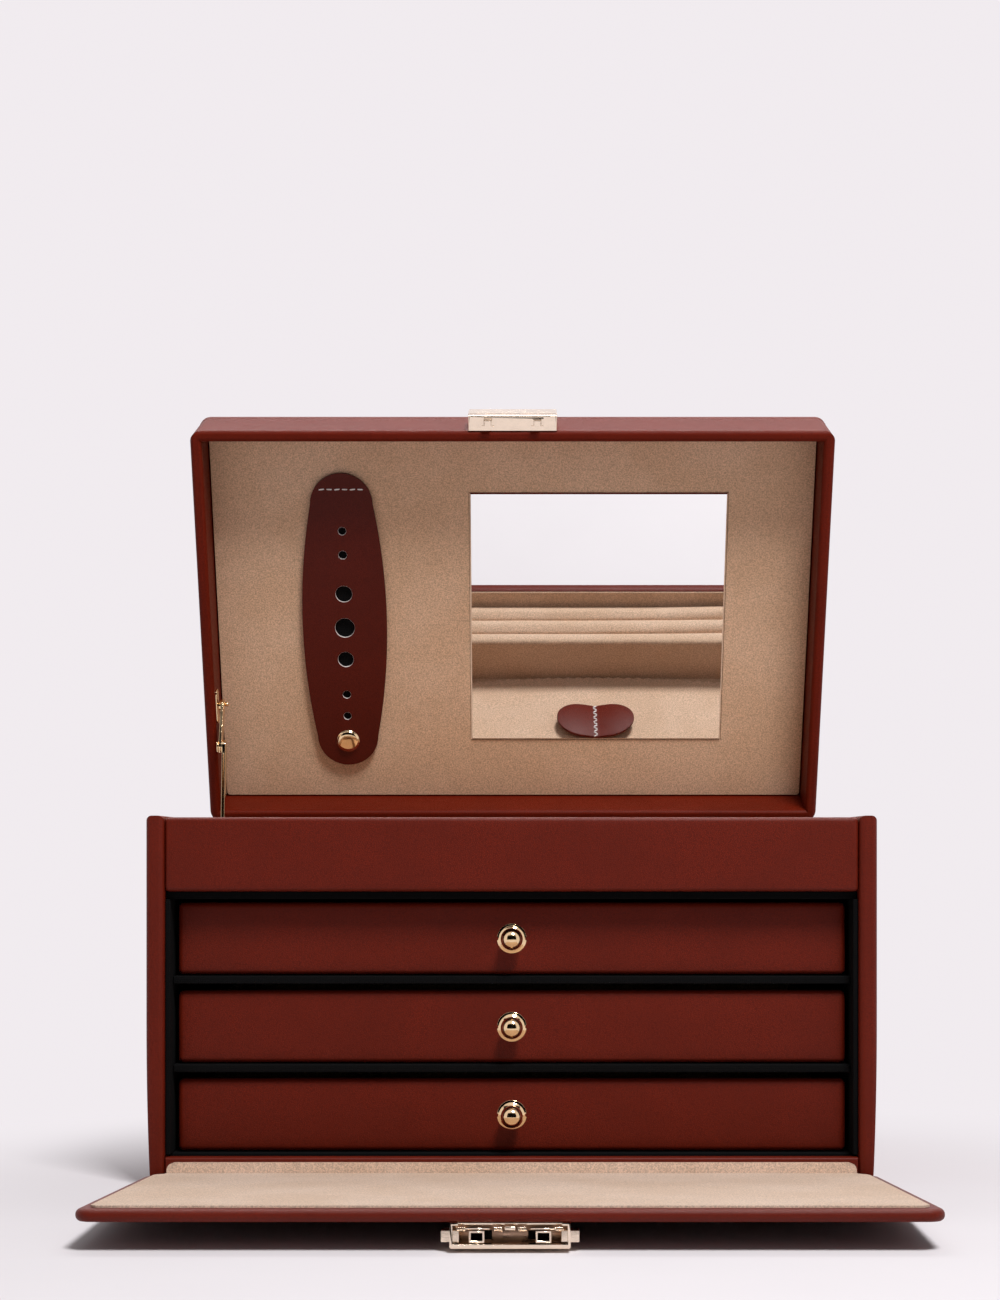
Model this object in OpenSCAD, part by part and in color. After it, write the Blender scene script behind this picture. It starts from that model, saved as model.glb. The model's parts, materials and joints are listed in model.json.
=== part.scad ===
// Jewellery case: a leather-covered cabinet with three drawers, a drop-down front flap with a
// lock, a lined tray on top and a hinged lid that holds a mirror and an earring strap.
// X runs to the right, Y to the rear and Z up. The origin is the centre of the underside.

/* [Case] */
// Width over the side panels
case_w = 280; // [260:1:320]
// Depth from the front edges of the side panels to the lid's hinge line
case_d = 174; // [168:1:200]
// Height to the top edge of the side panels
case_h = 142; // [139:1:150]
// Thickness of a side panel
side_t = 7; // [7:0.5:8]
// Radius of the leather-wrapped edges of the side panels
side_edge_r = 2.4; // [1:0.1:2.4]
// Radius of the lower outer corners
corner_r = 5; // [2:0.5:5]
// How far the sides draw in towards the floor
belly = 1.8; // [0:0.1:2]
// Height over which the sides draw in
belly_h = 72; // [50:1:100]
// Thickness of the rear panel
rear_t = 6; // [4:0.5:8]
// Thickness of the cover under the base
base_cover_t = 1; // [0.6:0.1:2]
// Thickness of the base board
base_t = 7.7; // [5:0.1:9]
// Thickness of the bottom rail
rail_t = 4.2; // [3:0.1:6]

/* [Cabinet] */
// Thickness of the black liner on the cabinet walls
liner_t = 2; // [1:0.1:3]
// Thickness of the cabinet floor and of the drawer shelves
shelf_t = 3; // [2:0.1:4]
// Depth by which the shelves stand back from the front edges
shelf_setback = 9; // [7:0.5:11]
// Thickness of the fascia in front of the tray
fascia_t = 6; // [4:0.5:8]
// Depth by which the fascia stands back from the front edges
fascia_setback = 1; // [0.5:0.1:3]
// Thickness of the board under the tray
tray_board_t = 3; // [2:0.1:4]

/* [Drawers] */
// Height of a drawer front
front_h = 28.2; // [26:0.1:30]
// Thickness of a drawer front
front_t = 8; // [6:0.5:10]
// Depth by which the drawer fronts stand back from the front edges
front_setback = 12; // [11.5:0.5:15]
// Side gap between a drawer front and the liner
front_side_gap = 1.5; // [0.6:0.1:3]
// Space above a drawer front
head_gap = 2.7; // [1.2:0.1:4]
// Radius of the padded edges of a drawer front
front_edge_r = 2.2; // [1:0.1:3]
// Space behind a drawer box
box_back_gap = 8; // [4:0.5:30]
// Height of a drawer box
box_h = 23; // [16:0.5:25]
// Wall of a drawer box
box_wall = 2.5; // [1.5:0.1:4]
// Floor of a drawer box
box_floor = 2; // [1.5:0.1:3]
// How much narrower a drawer box is than its front, on each side
box_inset = 1.5; // [0.5:0.1:4]
// Thickness of the suede lining
suede_t = 0.8; // [0.5:0.1:1.2]

/* [Knobs] */
// Radius of a knob's flange
flange_r = 5.85; // [4.5:0.05:8]
// Thickness of a knob's flange at its rim
flange_t = 1.3; // [0.8:0.1:1.6]
// Depth of the dish in a knob's flange
flange_dish = 0.7; // [0.3:0.1:0.9]
// Radius of a knob's ball
ball_r = 4.1; // [3:0.1:4.4]
// Distance from the drawer front to the end of the knob
knob_reach = 10.2; // [9.4:0.1:10.8]
// Radius of a knob's neck
neck_r = 2; // [1.5:0.1:3]
// Radius of the stud that holds a knob
stud_r = 1.5; // [1:0.1:2]
// Depth of the stud in the drawer front
stud_depth = 5.5; // [3:0.1:5.8]

/* [Tray] */
// Thickness of the tray's suede skin
skin_t = 1; // [0.6:0.1:1.6]
// Drop from the top edge of the case to the tray's skin
skin_drop = 1.4; // [0.8:0.1:4]
// Width of a ring roll
roll_w = 11.6; // [9:0.1:13]
// Gap between neighbouring ring rolls
roll_gap = 0.35; // [0.3:0.05:0.5]
// Height of a ring roll
roll_h = 21.5; // [15:0.5:23]
// Thickness of the long divider
divider_t = 4.6; // [3:0.1:6]
// Height of the dividers
divider_h = 24; // [18:0.5:25]
// Thickness of the cross divider
cross_t = 4; // [3:0.1:6]
// Distance of the cross divider from the middle of the case
cross_x = 48; // [30:1:60]
// Thickness of the suede cover over the large compartment
cover_t = 1.2; // [0.8:0.1:2]
// Height of the cover's rear edge over the tray floor
cover_rear_h = 7; // [5:0.5:12]
// Height of the cover's front edge over the tray floor
cover_front_h = 1; // [0.6:0.1:4]
// Width of the cover's pull tab
tab_w = 39.5; // [25:0.5:50]
// Length of the cover's pull tab
tab_l = 27; // [20:0.5:36]
// Thickness of the pull tab
tab_t = 1.4; // [0.8:0.1:2]
// Distance from the cover's front edge to the middle of the pull tab
tab_inset = 42; // [30:1:60]

/* [Lid] */
// Angle between the closed and the open lid
lid_open = 68.8; // [60:0.1:69]
// Height of the lid
lid_h = 38.4; // [34:0.1:46]
// Length by which the lid's front stands over the flap
lid_over = 6; // [5.6:0.1:8]
// Wall of the lid
lid_wall = 5; // [4:0.1:6]
// Radius of the lid's rim and upright edges
lid_edge_r = 2.2; // [1:0.1:2.4]
// Depth of the lid's lining below the rim
lining_depth = 20.3; // [18:0.1:22]
// Thickness of the lid's lining board
lining_t = 3; // [2.6:0.1:4]
// Thickness of the lid's deck above the lining
deck_t = 6; // [4:0.1:8]
// Gap round the edge of the lid's lining
lining_gap = 0.6; // [0.3:0.1:2]
// Radius of the padded top's edges
top_edge_r = 4; // [2:0.1:6]
// Gap between the closed lid and the case
lid_gap = 0.4; // [0.3:0.1:1]
// Thickness of the leather hinge strips
strip_t = 0.8; // [0.5:0.1:1.5]
// Width of a leather hinge strip on one side of the lid's hinge line
strip_w = 16; // [10:0.5:20]

/* [Mirror and strap] */
// Side of the square mirror
mirror_s = 116; // [90:1:120]
// Thickness of the mirror
mirror_t = 1.8; // [1.5:0.1:3]
// How far the mirror stands out of the lining
mirror_proud = 0.6; // [0.3:0.1:1]
// Bevel round the mirror
mirror_bevel = 1.2; // [0.5:0.1:2]
// Distance of the mirror's middle from the middle of the lid
mirror_x = 38.4; // [20:0.1:44]
// How far the mirror's middle lies past the middle of the lid, towards its front
mirror_shift = 1; // [-6:0.5:8]
// Distance of the strap's middle line from the middle of the lid
strap_x = 76.6; // [65:0.1:90]
// Distance of the strap's sewn end from the front of the lid
strap_top = 22.1; // [16:0.1:30]
// Length of the strap
strap_len = 136.6; // [110:0.1:140]
// Width of the strap in its middle
strap_w = 38.4; // [30:0.1:46]
// Radius of the strap's ends
strap_end_r = 14; // [10:0.1:15]
// Thickness of the strap
strap_t = 1.8; // [1.2:0.1:2.5]
// Length of the strap's sewn end
root_len = 8.3; // [6:0.1:12]
// Radius of the snap's cap
snap_r = 5.35; // [4:0.05:7]
// Distance of the snap from the strap's lower end
snap_inset = 11.8; // [9:0.1:15]
// Gap between the strap and the lining
strap_gap = 0.5; // [0.3:0.1:1]

/* [Flap] */
// Angle between the closed and the open flap
flap_open = 86.1; // [84:0.1:88]
// Thickness of the flap's board
flap_t = 4.2; // [3:0.1:4.6]
// Height of the flap's hinge line over the floor
flap_hinge_z = 5.4; // [5:0.1:7]
// Radius of the flap's free corners
flap_corner_r = 6; // [3:0.5:10]
// Width of the leather border round the flap's lining
flap_border = 4.5; // [3:0.1:8]
// Gap between the closed flap and the case
flap_gap = 0.3; // [0.3:0.1:0.6]
// Height of the suede strip behind the flap's hinge line
flap_strip_h = 3.8; // [3:0.1:3.9]

/* [Lock] */
// Width of the lock and of its keeper
lock_w = 38.7; // [30:0.1:46]
// Length of the lock along the flap
lock_l = 20; // [16:0.5:26]
// Thickness of the lock
lock_t = 8.4; // [7.5:0.1:8.6]
// Wall of the lock's housing
lock_wall = 1; // [0.8:0.1:1.2]
// Depth by which the end of the housing is sunk inside its walls
lock_sink = 1.5; // [0.8:0.1:2]
// Width of the lock's catch
latch_w = 3.5; // [2.5:0.1:6]
// Thickness of the lock's catch
latch_t = 1.2; // [0.8:0.1:1.4]
// How far the catch stands out of the housing
latch_out = 0.4; // [0.2:0.1:0.5]
// Thickness of the keeper
keeper_t = 6.5; // [5.5:0.1:8]
// Height of the keeper on the lid
keeper_h = 17; // [12:0.5:22]
// Distance between the two prongs
prong_pitch = 21.4; // [18:0.1:25]
// Width of a prong
prong_w = 3.6; // [2.5:0.1:4]
// Thickness of a prong
prong_t = 2; // [1.4:0.1:2.2]
// Length of a prong
prong_l = 5; // [4:0.1:7]
// Distance from the flap to the middle of the prongs
prong_offset = 4.6; // [4:0.1:5]
// How far a push button stands out of the lock
button_out = 2.9; // [2:0.1:4]
// Length of a push button
button_l = 8; // [6:0.1:12]
// Thickness of a push button
button_t = 3.8; // [3:0.1:4.5]
// Depth of a push button inside the lock
button_in = 3; // [2:0.1:3]
// Travel of a push button
button_travel = 1.5; // [1:0.1:2]

/* [Lid stay] */
// Distance of the stay's pivot on the lid from the hinge line
stay_l = 54; // [50:0.5:58]
// Depth of the stay's pivot on the lid behind the rim
stay_h = 5; // [4.5:0.1:6]
// Distance of the stay's pivot on the case from the hinge line
stay_back = 28; // [26:0.5:30]
// Height of the stay's pivot on the case over the tray floor
stay_rise = 4.45; // [3.5:0.05:6]
// Length of the stay's link between its pivots
link_len = 20; // [19.8:0.1:21]
// Width of the stay's bracket on the case
bracket_w = 9; // [6.4:0.1:10]
// Length of the stay's two plates
bracket_l = 16; // [12:0.5:20]
// Corner radius of the stay's two plates
bracket_r = 2.5; // [1:0.1:3]
// Width of the stay's plate on the lid
lid_plate_w = 5.6; // [4.4:0.1:5.6]
// Thickness of the stay's arms
stay_t = 1.2; // [0.8:0.1:1.4]
// Width of the stay's arms
stay_w = 6; // [4:0.1:6.4]
// Radius of the stay's pins
stay_pin_r = 1.4; // [1:0.1:1.6]
// Side gap between the stay's arm and its link
stay_side_gap = 0.5; // [0.4:0.05:0.6]

/* [Hidden] */

$fn = 48;
eps = 0.01;

LEATHER = [0.40, 0.14, 0.10];
BLACK = [0.05, 0.05, 0.06];
SUEDE = [0.76, 0.64, 0.50];
GOLD = [0.83, 0.69, 0.46];
GLASS = [0.80, 0.83, 0.86];

// Steps between neighbouring edges, so that no two faces lie in one plane
rail_drop = 0.6;
fascia_drop = 0.6;
flap_drop = 0.5;
side_foot = 0.3;
// How far the liner and the tray's board lie behind the face of the fascia
liner_setback = 2;
board_setback = 4;
// Distance of the base's cover from the edges of the case, and its corner radius
base_margin = 5;
// Distance of the two strips at the lid's hinge line from that line
strip_off = 2;
lining_corner_r = 1.5;
// Edge radii of the wrapped boards
rail_edge_r = 1;
rear_edge_r = 1;
fascia_edge_r = 1.6;
flap_edge_r = 1.9;
lock_edge_r = 0.7;
// A clearance that lets soft and sliding pieces pass
run_gap = 0.3;
// A clearance between pieces that are stuck or sewn together
fit_gap = 0.15;
// Radial clearance of a pin that turns
pin_gap = 0.05;

half_w = case_w / 2;
inner_x = half_w - side_t;
liner_x = inner_x - liner_t;
rear_y = case_d - rear_t;
base_top = base_cover_t + base_t;
floor_top = base_top + shelf_t;
rail_top = floor_top - rail_drop;
pitch = run_gap + front_h + head_gap + shelf_t;
front_w = 2 * (liner_x - front_side_gap);
box_w = front_w - 2 * box_inset;
box_y = front_setback + front_t;
box_d = rear_y - liner_t - box_back_gap - box_y;
tray_board_z = drawer_z(2) + front_h + head_gap / 2;
tray_z = tray_board_z + tray_board_t;
tray_floor = tray_z + skin_t;
tray_x = inner_x - skin_t;
tray_front_y = fascia_setback + fascia_t + skin_t;
tray_rear_y = rear_y - skin_t;
skin_top = case_h - skin_drop;

// Height of the underside of drawer i, counted from the bottom
function drawer_z(i) = floor_top + run_gap + i * pitch;

// Points of an arc about c with radius r from angle a to angle b
function arc(c, r, a, b, n = 8) =
    [for (i = [0:n]) c + r * [cos(a + (b - a) * i / n), sin(a + (b - a) * i / n)]];

// ---- Shared shapes ----

// Moves a piece from the case's front edge to the origin's frame
module in_case() {
    translate([0, -case_d / 2, 0]) children();
}

// A flat outline in X and Y whose front corners are round, and its rear ones too if asked
module soft_rect(w, d, r, rear_r = 0) {
    q = max(rear_r, eps);
    translate([-w / 2, r]) square([w, d - r - q]);
    translate([-w / 2 + r, 0]) square([w - 2 * r, r + eps]);
    translate([-w / 2 + q, d - q - eps]) square([w - 2 * q, q + eps]);
    for (s = [-1, 1]) {
        translate([s * (w / 2 - r), r]) circle(r);
        if (rear_r > 0) translate([s * (w / 2 - q), d - q]) circle(q);
    }
}

// A leather-wrapped board: X centred, Y from its face to its back, Z from its lower edge
module wrapped_board(w, t, h, r, corner = 0) {
    intersection() {
        rotate([90, 0, 90]) translate([0, 0, -w / 2]) linear_extrude(w)
            translate([0, h / 2]) rotate(-90) soft_rect(h, t, r);
        linear_extrude(h) soft_rect(w, t, r);
        translate([0, t, 0]) rotate([90, 0, 0]) linear_extrude(t)
            soft_rect(w, h, max(corner, r / 2), max(corner, r / 2));
    }
}

// A box with its corner at the lower left front, from x0 to x1 and so on
module span(x0, x1, y0, y1, z0, z1) {
    translate([x0, y0, z0]) cube([x1 - x0, y1 - y0, z1 - z0]);
}

// A half shape and its mirror image across X
module for_both() {
    children();
    mirror([1, 0, 0]) children();
}

// ---- Case ----

// Outline of the right side panel in X and Z
function belly_inset(z) = z < belly_h ? belly * pow((belly_h - z) / belly_h, 2) : 0;
side_pts = concat(
    [[inner_x, side_foot]],
    arc([half_w - belly_inset(corner_r) - corner_r, corner_r + side_foot], corner_r, -90, 0),
    [for (i = [1:8]) let (z = corner_r + (belly_h - corner_r) * i / 8)
        [half_w - belly_inset(z), z + side_foot]],
    arc([half_w - side_edge_r, case_h - side_edge_r], side_edge_r, 0, 90),
    arc([inner_x + side_edge_r, case_h - side_edge_r], side_edge_r, 90, 180));

module side_panel() {
    intersection() {
        translate([0, case_d, 0]) rotate([90, 0, 0]) linear_extrude(case_d) polygon(side_pts);
        translate([half_w - side_t / 2, 0, 0]) linear_extrude(case_h)
            soft_rect(side_t, case_d, side_edge_r, side_edge_r);
    }
}

module side_panel_left() {
    color(LEATHER) in_case() mirror([1, 0, 0]) side_panel();
}

module side_panel_right() {
    color(LEATHER) in_case() side_panel();
}

module rear_panel() {
    w = 2 * (inner_x - fit_gap);
    color(LEATHER) in_case() translate([0, case_d, base_cover_t]) mirror([0, 1, 0])
        wrapped_board(w, rear_t, case_h - base_cover_t, rear_edge_r);
}

module base_board() {
    x = inner_x - fit_gap;
    color(BLACK) in_case()
        span(-x, x, fascia_setback + rail_t, rear_y, base_cover_t, base_top);
}

module base_cover() {
    x = half_w - corner_r - base_margin;
    color(LEATHER) in_case() translate([0, base_margin, 0]) linear_extrude(base_cover_t)
        soft_rect(2 * x, case_d - 2 * base_margin, base_margin, base_margin);
}

module bottom_rail() {
    w = 2 * (inner_x - fit_gap);
    color(LEATHER) in_case() translate([0, fascia_setback, base_cover_t])
        wrapped_board(w, rail_t, rail_top - base_cover_t, rail_edge_r);
}

module cabinet_floor() {
    color(BLACK) in_case()
        span(-inner_x + fit_gap, inner_x - fit_gap, shelf_setback, rear_y, base_top, floor_top);
}

// Shelf under drawer i
module drawer_shelf(i) {
    x = liner_x - fit_gap;
    top = drawer_z(i) - run_gap;
    span(-x, x, shelf_setback, rear_y - liner_t - fit_gap, top - shelf_t, top);
}

module drawer_shelf_lower() {
    color(BLACK) in_case() drawer_shelf(1);
}

module drawer_shelf_upper() {
    color(BLACK) in_case() drawer_shelf(2);
}

module cabinet_liner() {
    y0 = fascia_setback + liner_setback;
    color(BLACK) in_case() difference() {
        span(-inner_x, inner_x, y0, rear_y, floor_top, tray_board_z);
        span(-liner_x, liner_x, y0 - 1, rear_y - liner_t, floor_top - 1, tray_board_z + 1);
    }
}

module front_fascia() {
    w = 2 * (inner_x - fit_gap);
    color(LEATHER) in_case() translate([0, fascia_setback, tray_z])
        wrapped_board(w, fascia_t, case_h - fascia_drop - tray_z, fascia_edge_r);
}

module tray_board() {
    x = inner_x - fit_gap;
    color(BLACK) in_case()
        span(-x, x, fascia_setback + board_setback, rear_y, tray_board_z, tray_z);
}

// ---- Tray ----

module tray_lining() {
    y0 = fascia_setback + fascia_t;
    color(SUEDE) in_case() difference() {
        span(-inner_x, inner_x, y0, rear_y, tray_z, skin_top);
        span(-tray_x, tray_x, tray_front_y, tray_rear_y, tray_floor, case_h);
    }
}

roll_pitch = roll_w + roll_gap;
roll_x = tray_x - run_gap;

// Ring roll i, counted from the front: straight sides and a round top
module ring_roll(i) {
    y = tray_front_y + run_gap + i * roll_pitch;
    translate([-roll_x, y, tray_floor + fit_gap]) rotate([90, 0, 90])
        linear_extrude(2 * roll_x) {
            square([roll_w, roll_h - roll_w / 2]);
            translate([roll_w / 2, roll_h - roll_w / 2]) circle(roll_w / 2);
        }
}

module ring_roll_front() {
    color(SUEDE) in_case() ring_roll(0);
}

module ring_roll_middle() {
    color(SUEDE) in_case() ring_roll(1);
}

module ring_roll_rear() {
    color(SUEDE) in_case() ring_roll(2);
}

divider_y = tray_front_y + 2 * run_gap + 2 * roll_pitch + roll_w;
divider_back = divider_y + divider_t;

module tray_divider() {
    color(SUEDE) in_case() translate([-roll_x, divider_y, tray_floor]) rotate([90, 0, 90])
        linear_extrude(2 * roll_x) {
            square([divider_t, divider_h - divider_t / 2]);
            translate([divider_t / 2, divider_h - divider_t / 2]) circle(divider_t / 2);
        }
}

module tray_cross_divider() {
    length = tray_rear_y - divider_back - 2 * fit_gap;
    color(SUEDE) in_case()
        translate([-cross_x - cross_t, divider_back + fit_gap + length, tray_floor])
            rotate([90, 0, 0]) linear_extrude(length) {
                square([cross_t, divider_h - cross_t / 2]);
                translate([cross_t / 2, divider_h - cross_t / 2]) circle(cross_t / 2);
            }
}

// The cover slopes from its rear edge down to its front edge
cover_x0 = -cross_x + run_gap;
cover_x1 = tray_x - run_gap;
cover_y1 = tray_rear_y - run_gap;
cover_len = cover_y1 - divider_back - 1;
cover_fall = cover_rear_h - cover_front_h;
cover_angle = asin(cover_fall / cover_len);
// How far the middle of the cover's front edge stands past its ends
cover_sag = 8;
cover_arc_r = (pow((cover_x1 - cover_x0) / 2, 2) + pow(cover_sag, 2)) / (2 * cover_sag);

module cover_pose() {
    translate([(cover_x0 + cover_x1) / 2, cover_y1, tray_floor + cover_rear_h])
        rotate([cover_angle, 0, 0]) children();
}

// The cover's front edge is a shallow arc that stands furthest forward in its middle
module tray_cover() {
    w = cover_x1 - cover_x0;
    color(SUEDE) in_case() cover_pose() linear_extrude(cover_t) intersection() {
        translate([-w / 2, -cover_len]) square([w, cover_len]);
        translate([0, cover_arc_r - cover_len]) circle(cover_arc_r, $fn = 360);
    }
}

module cover_tab() {
    r = tab_l / 2;
    color(LEATHER) in_case() cover_pose()
        translate([0, tab_inset - cover_len, cover_t + fit_gap]) linear_extrude(tab_t) {
            square([tab_w - tab_l, tab_l], center = true);
            for (s = [-1, 1]) translate([s * (tab_w / 2 - r), 0]) circle(r);
        }
}

// ---- Drawers ----

// Front of drawer i
module drawer_front(i) {
    translate([0, front_setback, drawer_z(i)]) difference() {
        wrapped_board(front_w, front_t, front_h, front_edge_r);
        translate([0, -1, front_h / 2]) rotate([-90, 0, 0])
            cylinder(r = stud_r + pin_gap, h = stud_depth + run_gap + 1);
    }
}

// Box of drawer i
module drawer_box(i) {
    x = box_w / 2;
    translate([0, box_y, drawer_z(i)]) difference() {
        span(-x, x, 0, box_d, 0, box_h);
        span(-x + box_wall, x - box_wall, box_wall, box_d - box_wall, box_floor, box_h + 1);
    }
}

// Suede skin inside drawer i
module drawer_lining(i) {
    x = box_w / 2 - box_wall;
    y1 = box_d - box_wall;
    top = box_h - 1;
    translate([0, box_y, drawer_z(i)]) difference() {
        span(-x, x, box_wall, y1, box_floor, top);
        span(-x + suede_t, x - suede_t, box_wall + suede_t, y1 - suede_t,
            box_floor + suede_t, box_h + 1);
    }
}

// Knob of drawer i: a dished flange, a neck and a ball, on a stud
module drawer_knob(i) {
    lip = flange_t / 3;
    dish_x = flange_r - 1.5 * lip;
    dish_r = (pow(dish_x, 2) + pow(flange_dish, 2)) / (2 * flange_dish);
    dish_a = asin(dish_x / dish_r);
    translate([0, front_setback, drawer_z(i) + front_h / 2]) rotate([90, 0, 0]) {
        rotate_extrude() polygon(concat([[0, 0], [flange_r, 0]],
            arc([flange_r - lip, flange_t - lip], lip, 0, 90, 3),
            arc([0, flange_t - flange_dish + dish_r], dish_r, dish_a - 90, -90, 5)));
        cylinder(r = neck_r, h = knob_reach - ball_r);
        translate([0, 0, knob_reach - ball_r]) sphere(ball_r);
        translate([0, 0, -stud_depth]) cylinder(r = stud_r, h = stud_depth + eps);
    }
}

module drawer_front_bottom() {
    color(LEATHER) in_case() drawer_front(0);
}

module drawer_front_middle() {
    color(LEATHER) in_case() drawer_front(1);
}

module drawer_front_top() {
    color(LEATHER) in_case() drawer_front(2);
}

module drawer_box_bottom() {
    color(BLACK) in_case() drawer_box(0);
}

module drawer_box_middle() {
    color(BLACK) in_case() drawer_box(1);
}

module drawer_box_top() {
    color(BLACK) in_case() drawer_box(2);
}

module drawer_lining_bottom() {
    color(SUEDE) in_case() drawer_lining(0);
}

module drawer_lining_middle() {
    color(SUEDE) in_case() drawer_lining(1);
}

module drawer_lining_top() {
    color(SUEDE) in_case() drawer_lining(2);
}

module drawer_knob_bottom() {
    color(GOLD) in_case() drawer_knob(0);
}

module drawer_knob_middle() {
    color(GOLD) in_case() drawer_knob(1);
}

module drawer_knob_top() {
    color(GOLD) in_case() drawer_knob(2);
}

// ---- Lid ----
// The lid's own frame: X across, Y from the hinge line towards the front as -l, Z as the
// height over the rim. lid_pose() stands it open on the hinge line.

hinge_z = case_h + lid_gap;
lid_len = case_d + lid_over;
// Radius of the inner edge of the lid's rim
rim_r = min(lid_edge_r, lid_wall - lid_edge_r - fit_gap);
mirror_l = lid_len / 2 + mirror_shift;
deck_z = lining_depth + lining_t + fit_gap;
top_z = deck_z + deck_t;

module lid_pose() {
    translate([0, case_d, hinge_z]) rotate([-lid_open, 0, 0]) children();
}

// A point of the lid at l from the hinge line and h over the rim, as [Y, Z] with the lid open
function lid_at(l, h) = [case_d, hinge_z]
    + l * [-cos(lid_open), sin(lid_open)] + h * [sin(lid_open), cos(lid_open)];

// Outline of the lid with a margin taken off all round
module lid_plan(margin, r) {
    translate([0, -lid_len + margin]) soft_rect(case_w - 2 * margin, lid_len - 2 * margin, r, r);
}

// The lid's hollow in one direction, w to each side and along Y, with a rounded rim
module lid_hollow(w) {
    x = w + rim_r;
    rotate([90, 0, 0]) translate([0, 0, -lid_len]) linear_extrude(2 * lid_len) difference() {
        translate([-x, -1]) square([2 * x, deck_z + 1]);
        for (s = [-1, 1]) {
            translate([s * x, rim_r - eps]) circle(rim_r);
            translate([s * x - rim_r, rim_r - eps]) square([2 * rim_r, deck_z]);
        }
    }
}

module lid_frame() {
    color(LEATHER) in_case() lid_pose() difference() {
        intersection() {
            linear_extrude(top_z) lid_plan(0, lid_edge_r);
            rotate([90, 0, 0]) linear_extrude(lid_len) soft_rect(case_w, 2 * top_z, lid_edge_r);
            rotate([90, 0, 90]) translate([-lid_len / 2, 0, -half_w]) linear_extrude(case_w)
                soft_rect(lid_len, 2 * top_z, lid_edge_r);
        }
        intersection() {
            lid_hollow(half_w - lid_wall);
            translate([0, -lid_len / 2, 0]) rotate(90) lid_hollow(lid_len / 2 - lid_wall);
        }
    }
}

module lid_top_panel() {
    t = lid_h - top_z - fit_gap;
    color(LEATHER) in_case() lid_pose() translate([0, 0, top_z + fit_gap]) intersection() {
        linear_extrude(t) lid_plan(0, lid_edge_r);
        translate([0, 0, t]) rotate([-90, 0, 0]) mirror([0, 0, 1]) linear_extrude(lid_len)
            soft_rect(case_w, 2 * t, top_edge_r);
        translate([0, 0, t]) mirror([0, 0, 1]) rotate([90, 0, 90])
            translate([-lid_len / 2, 0, -half_w]) linear_extrude(case_w)
                soft_rect(lid_len, 2 * t, top_edge_r);
    }
}

module lid_lining_panel() {
    pocket = mirror_t - mirror_proud + fit_gap;
    side = mirror_s + 2 * fit_gap;
    color(SUEDE) in_case() lid_pose() difference() {
        translate([0, 0, lining_depth]) linear_extrude(lining_t)
            lid_plan(lid_wall + lining_gap, lining_corner_r);
        translate([mirror_x - side / 2, -mirror_l - side / 2, lining_depth - 1])
            cube([side, side, pocket + 1]);
        translate([-strap_x, -strap_l0 - snap_inset, lining_depth - 1])
            cylinder(r = stud_post_r + pin_gap, h = lining_t);
    }
}

module lid_hinge_leaf() {
    x = half_w - side_t;
    color(LEATHER) in_case() lid_pose() span(-x, x, 0, strip_t, strip_off, strip_w);
}

module mirror_glass() {
    b = mirror_bevel;
    edge = mirror_t - min(mirror_proud, b);
    pts = [[0, 0], [mirror_s / 2, 0], [mirror_s / 2, edge],
        [mirror_s / 2 - b, mirror_t], [0, mirror_t]];
    color(GLASS) in_case() lid_pose()
        translate([mirror_x, -mirror_l, lining_depth - mirror_proud + mirror_t])
            rotate([180, 0, 0]) intersection() {
                for_both() rotate([90, 0, 0]) translate([0, 0, -mirror_s / 2])
                    linear_extrude(mirror_s) polygon(pts);
                rotate(90) for_both() rotate([90, 0, 0]) translate([0, 0, -mirror_s / 2])
                    linear_extrude(mirror_s) polygon(pts);
            }
}

// ---- Earring strap ----

strap_z = lining_depth - strap_gap - strap_t;
strap_l0 = lid_len - strap_top - strap_len;
strap_mid = strap_len / 2;
strap_side_y = strap_mid - strap_end_r;
strap_rise = strap_w / 2 - strap_end_r;
strap_side_r = (pow(strap_side_y, 2) + pow(strap_rise, 2)) / (2 * strap_rise);
strap_side_a = atan(strap_side_y / (strap_side_r - strap_rise));
// Angle at which the round ends of the strap begin
strap_end_a = 10;
stud_post_r = 2;
stud_tip_r = 1.4;
stud_collar_r = 3.4;
stud_collar_t = 0.3;
snap_neck_r = 2.6;
snap_dome = 1.2;
snap_rim = 0.7;

// Diameters of the earring holes and their distances from the strap's lower end
hole_d = [3.7, 3.9, 7.3, 9.1, 7.7, 4, 3.8];
hole_y = [23.8, 34.1, 50.9, 65.8, 81.6, 99.6, 110.5];

// Leaf outline about its middle: two long side arcs between round ends
strap_pts = concat(
    arc([strap_w / 2 - strap_side_r, 0], strap_side_r, -strap_side_a, strap_side_a, 16),
    arc([0, strap_side_y], strap_end_r, strap_end_a, 180 - strap_end_a, 14),
    arc([strap_side_r - strap_w / 2, 0], strap_side_r, 180 - strap_side_a,
        180 + strap_side_a, 16),
    arc([0, -strap_side_y], strap_end_r, 180 + strap_end_a, 360 - strap_end_a, 14));

module strap_place() {
    translate([-strap_x, -strap_l0 - strap_mid, strap_z]) children();
}

module strap_leaf() {
    linear_extrude(strap_t) polygon(strap_pts);
}

seam_y = -strap_mid + root_len;

module strap_root() {
    color(LEATHER) in_case() lid_pose() strap_place() intersection() {
        strap_leaf();
        span(-strap_w, strap_w, -strap_mid - 1, seam_y - run_gap, -1, strap_t + 1);
    }
}

module earring_strap() {
    color(LEATHER) in_case() lid_pose() strap_place() difference() {
        strap_leaf();
        span(-strap_w, strap_w, -strap_mid - 1, seam_y, -1, strap_t + 1);
        for (i = [0:len(hole_d) - 1]) translate([0, strap_mid - hole_y[i], -1])
            cylinder(d = hole_d[i], h = strap_t + 2);
        translate([0, strap_mid - snap_inset, -1])
            cylinder(r = snap_neck_r + pin_gap, h = strap_t + 2);
    }
}

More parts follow.
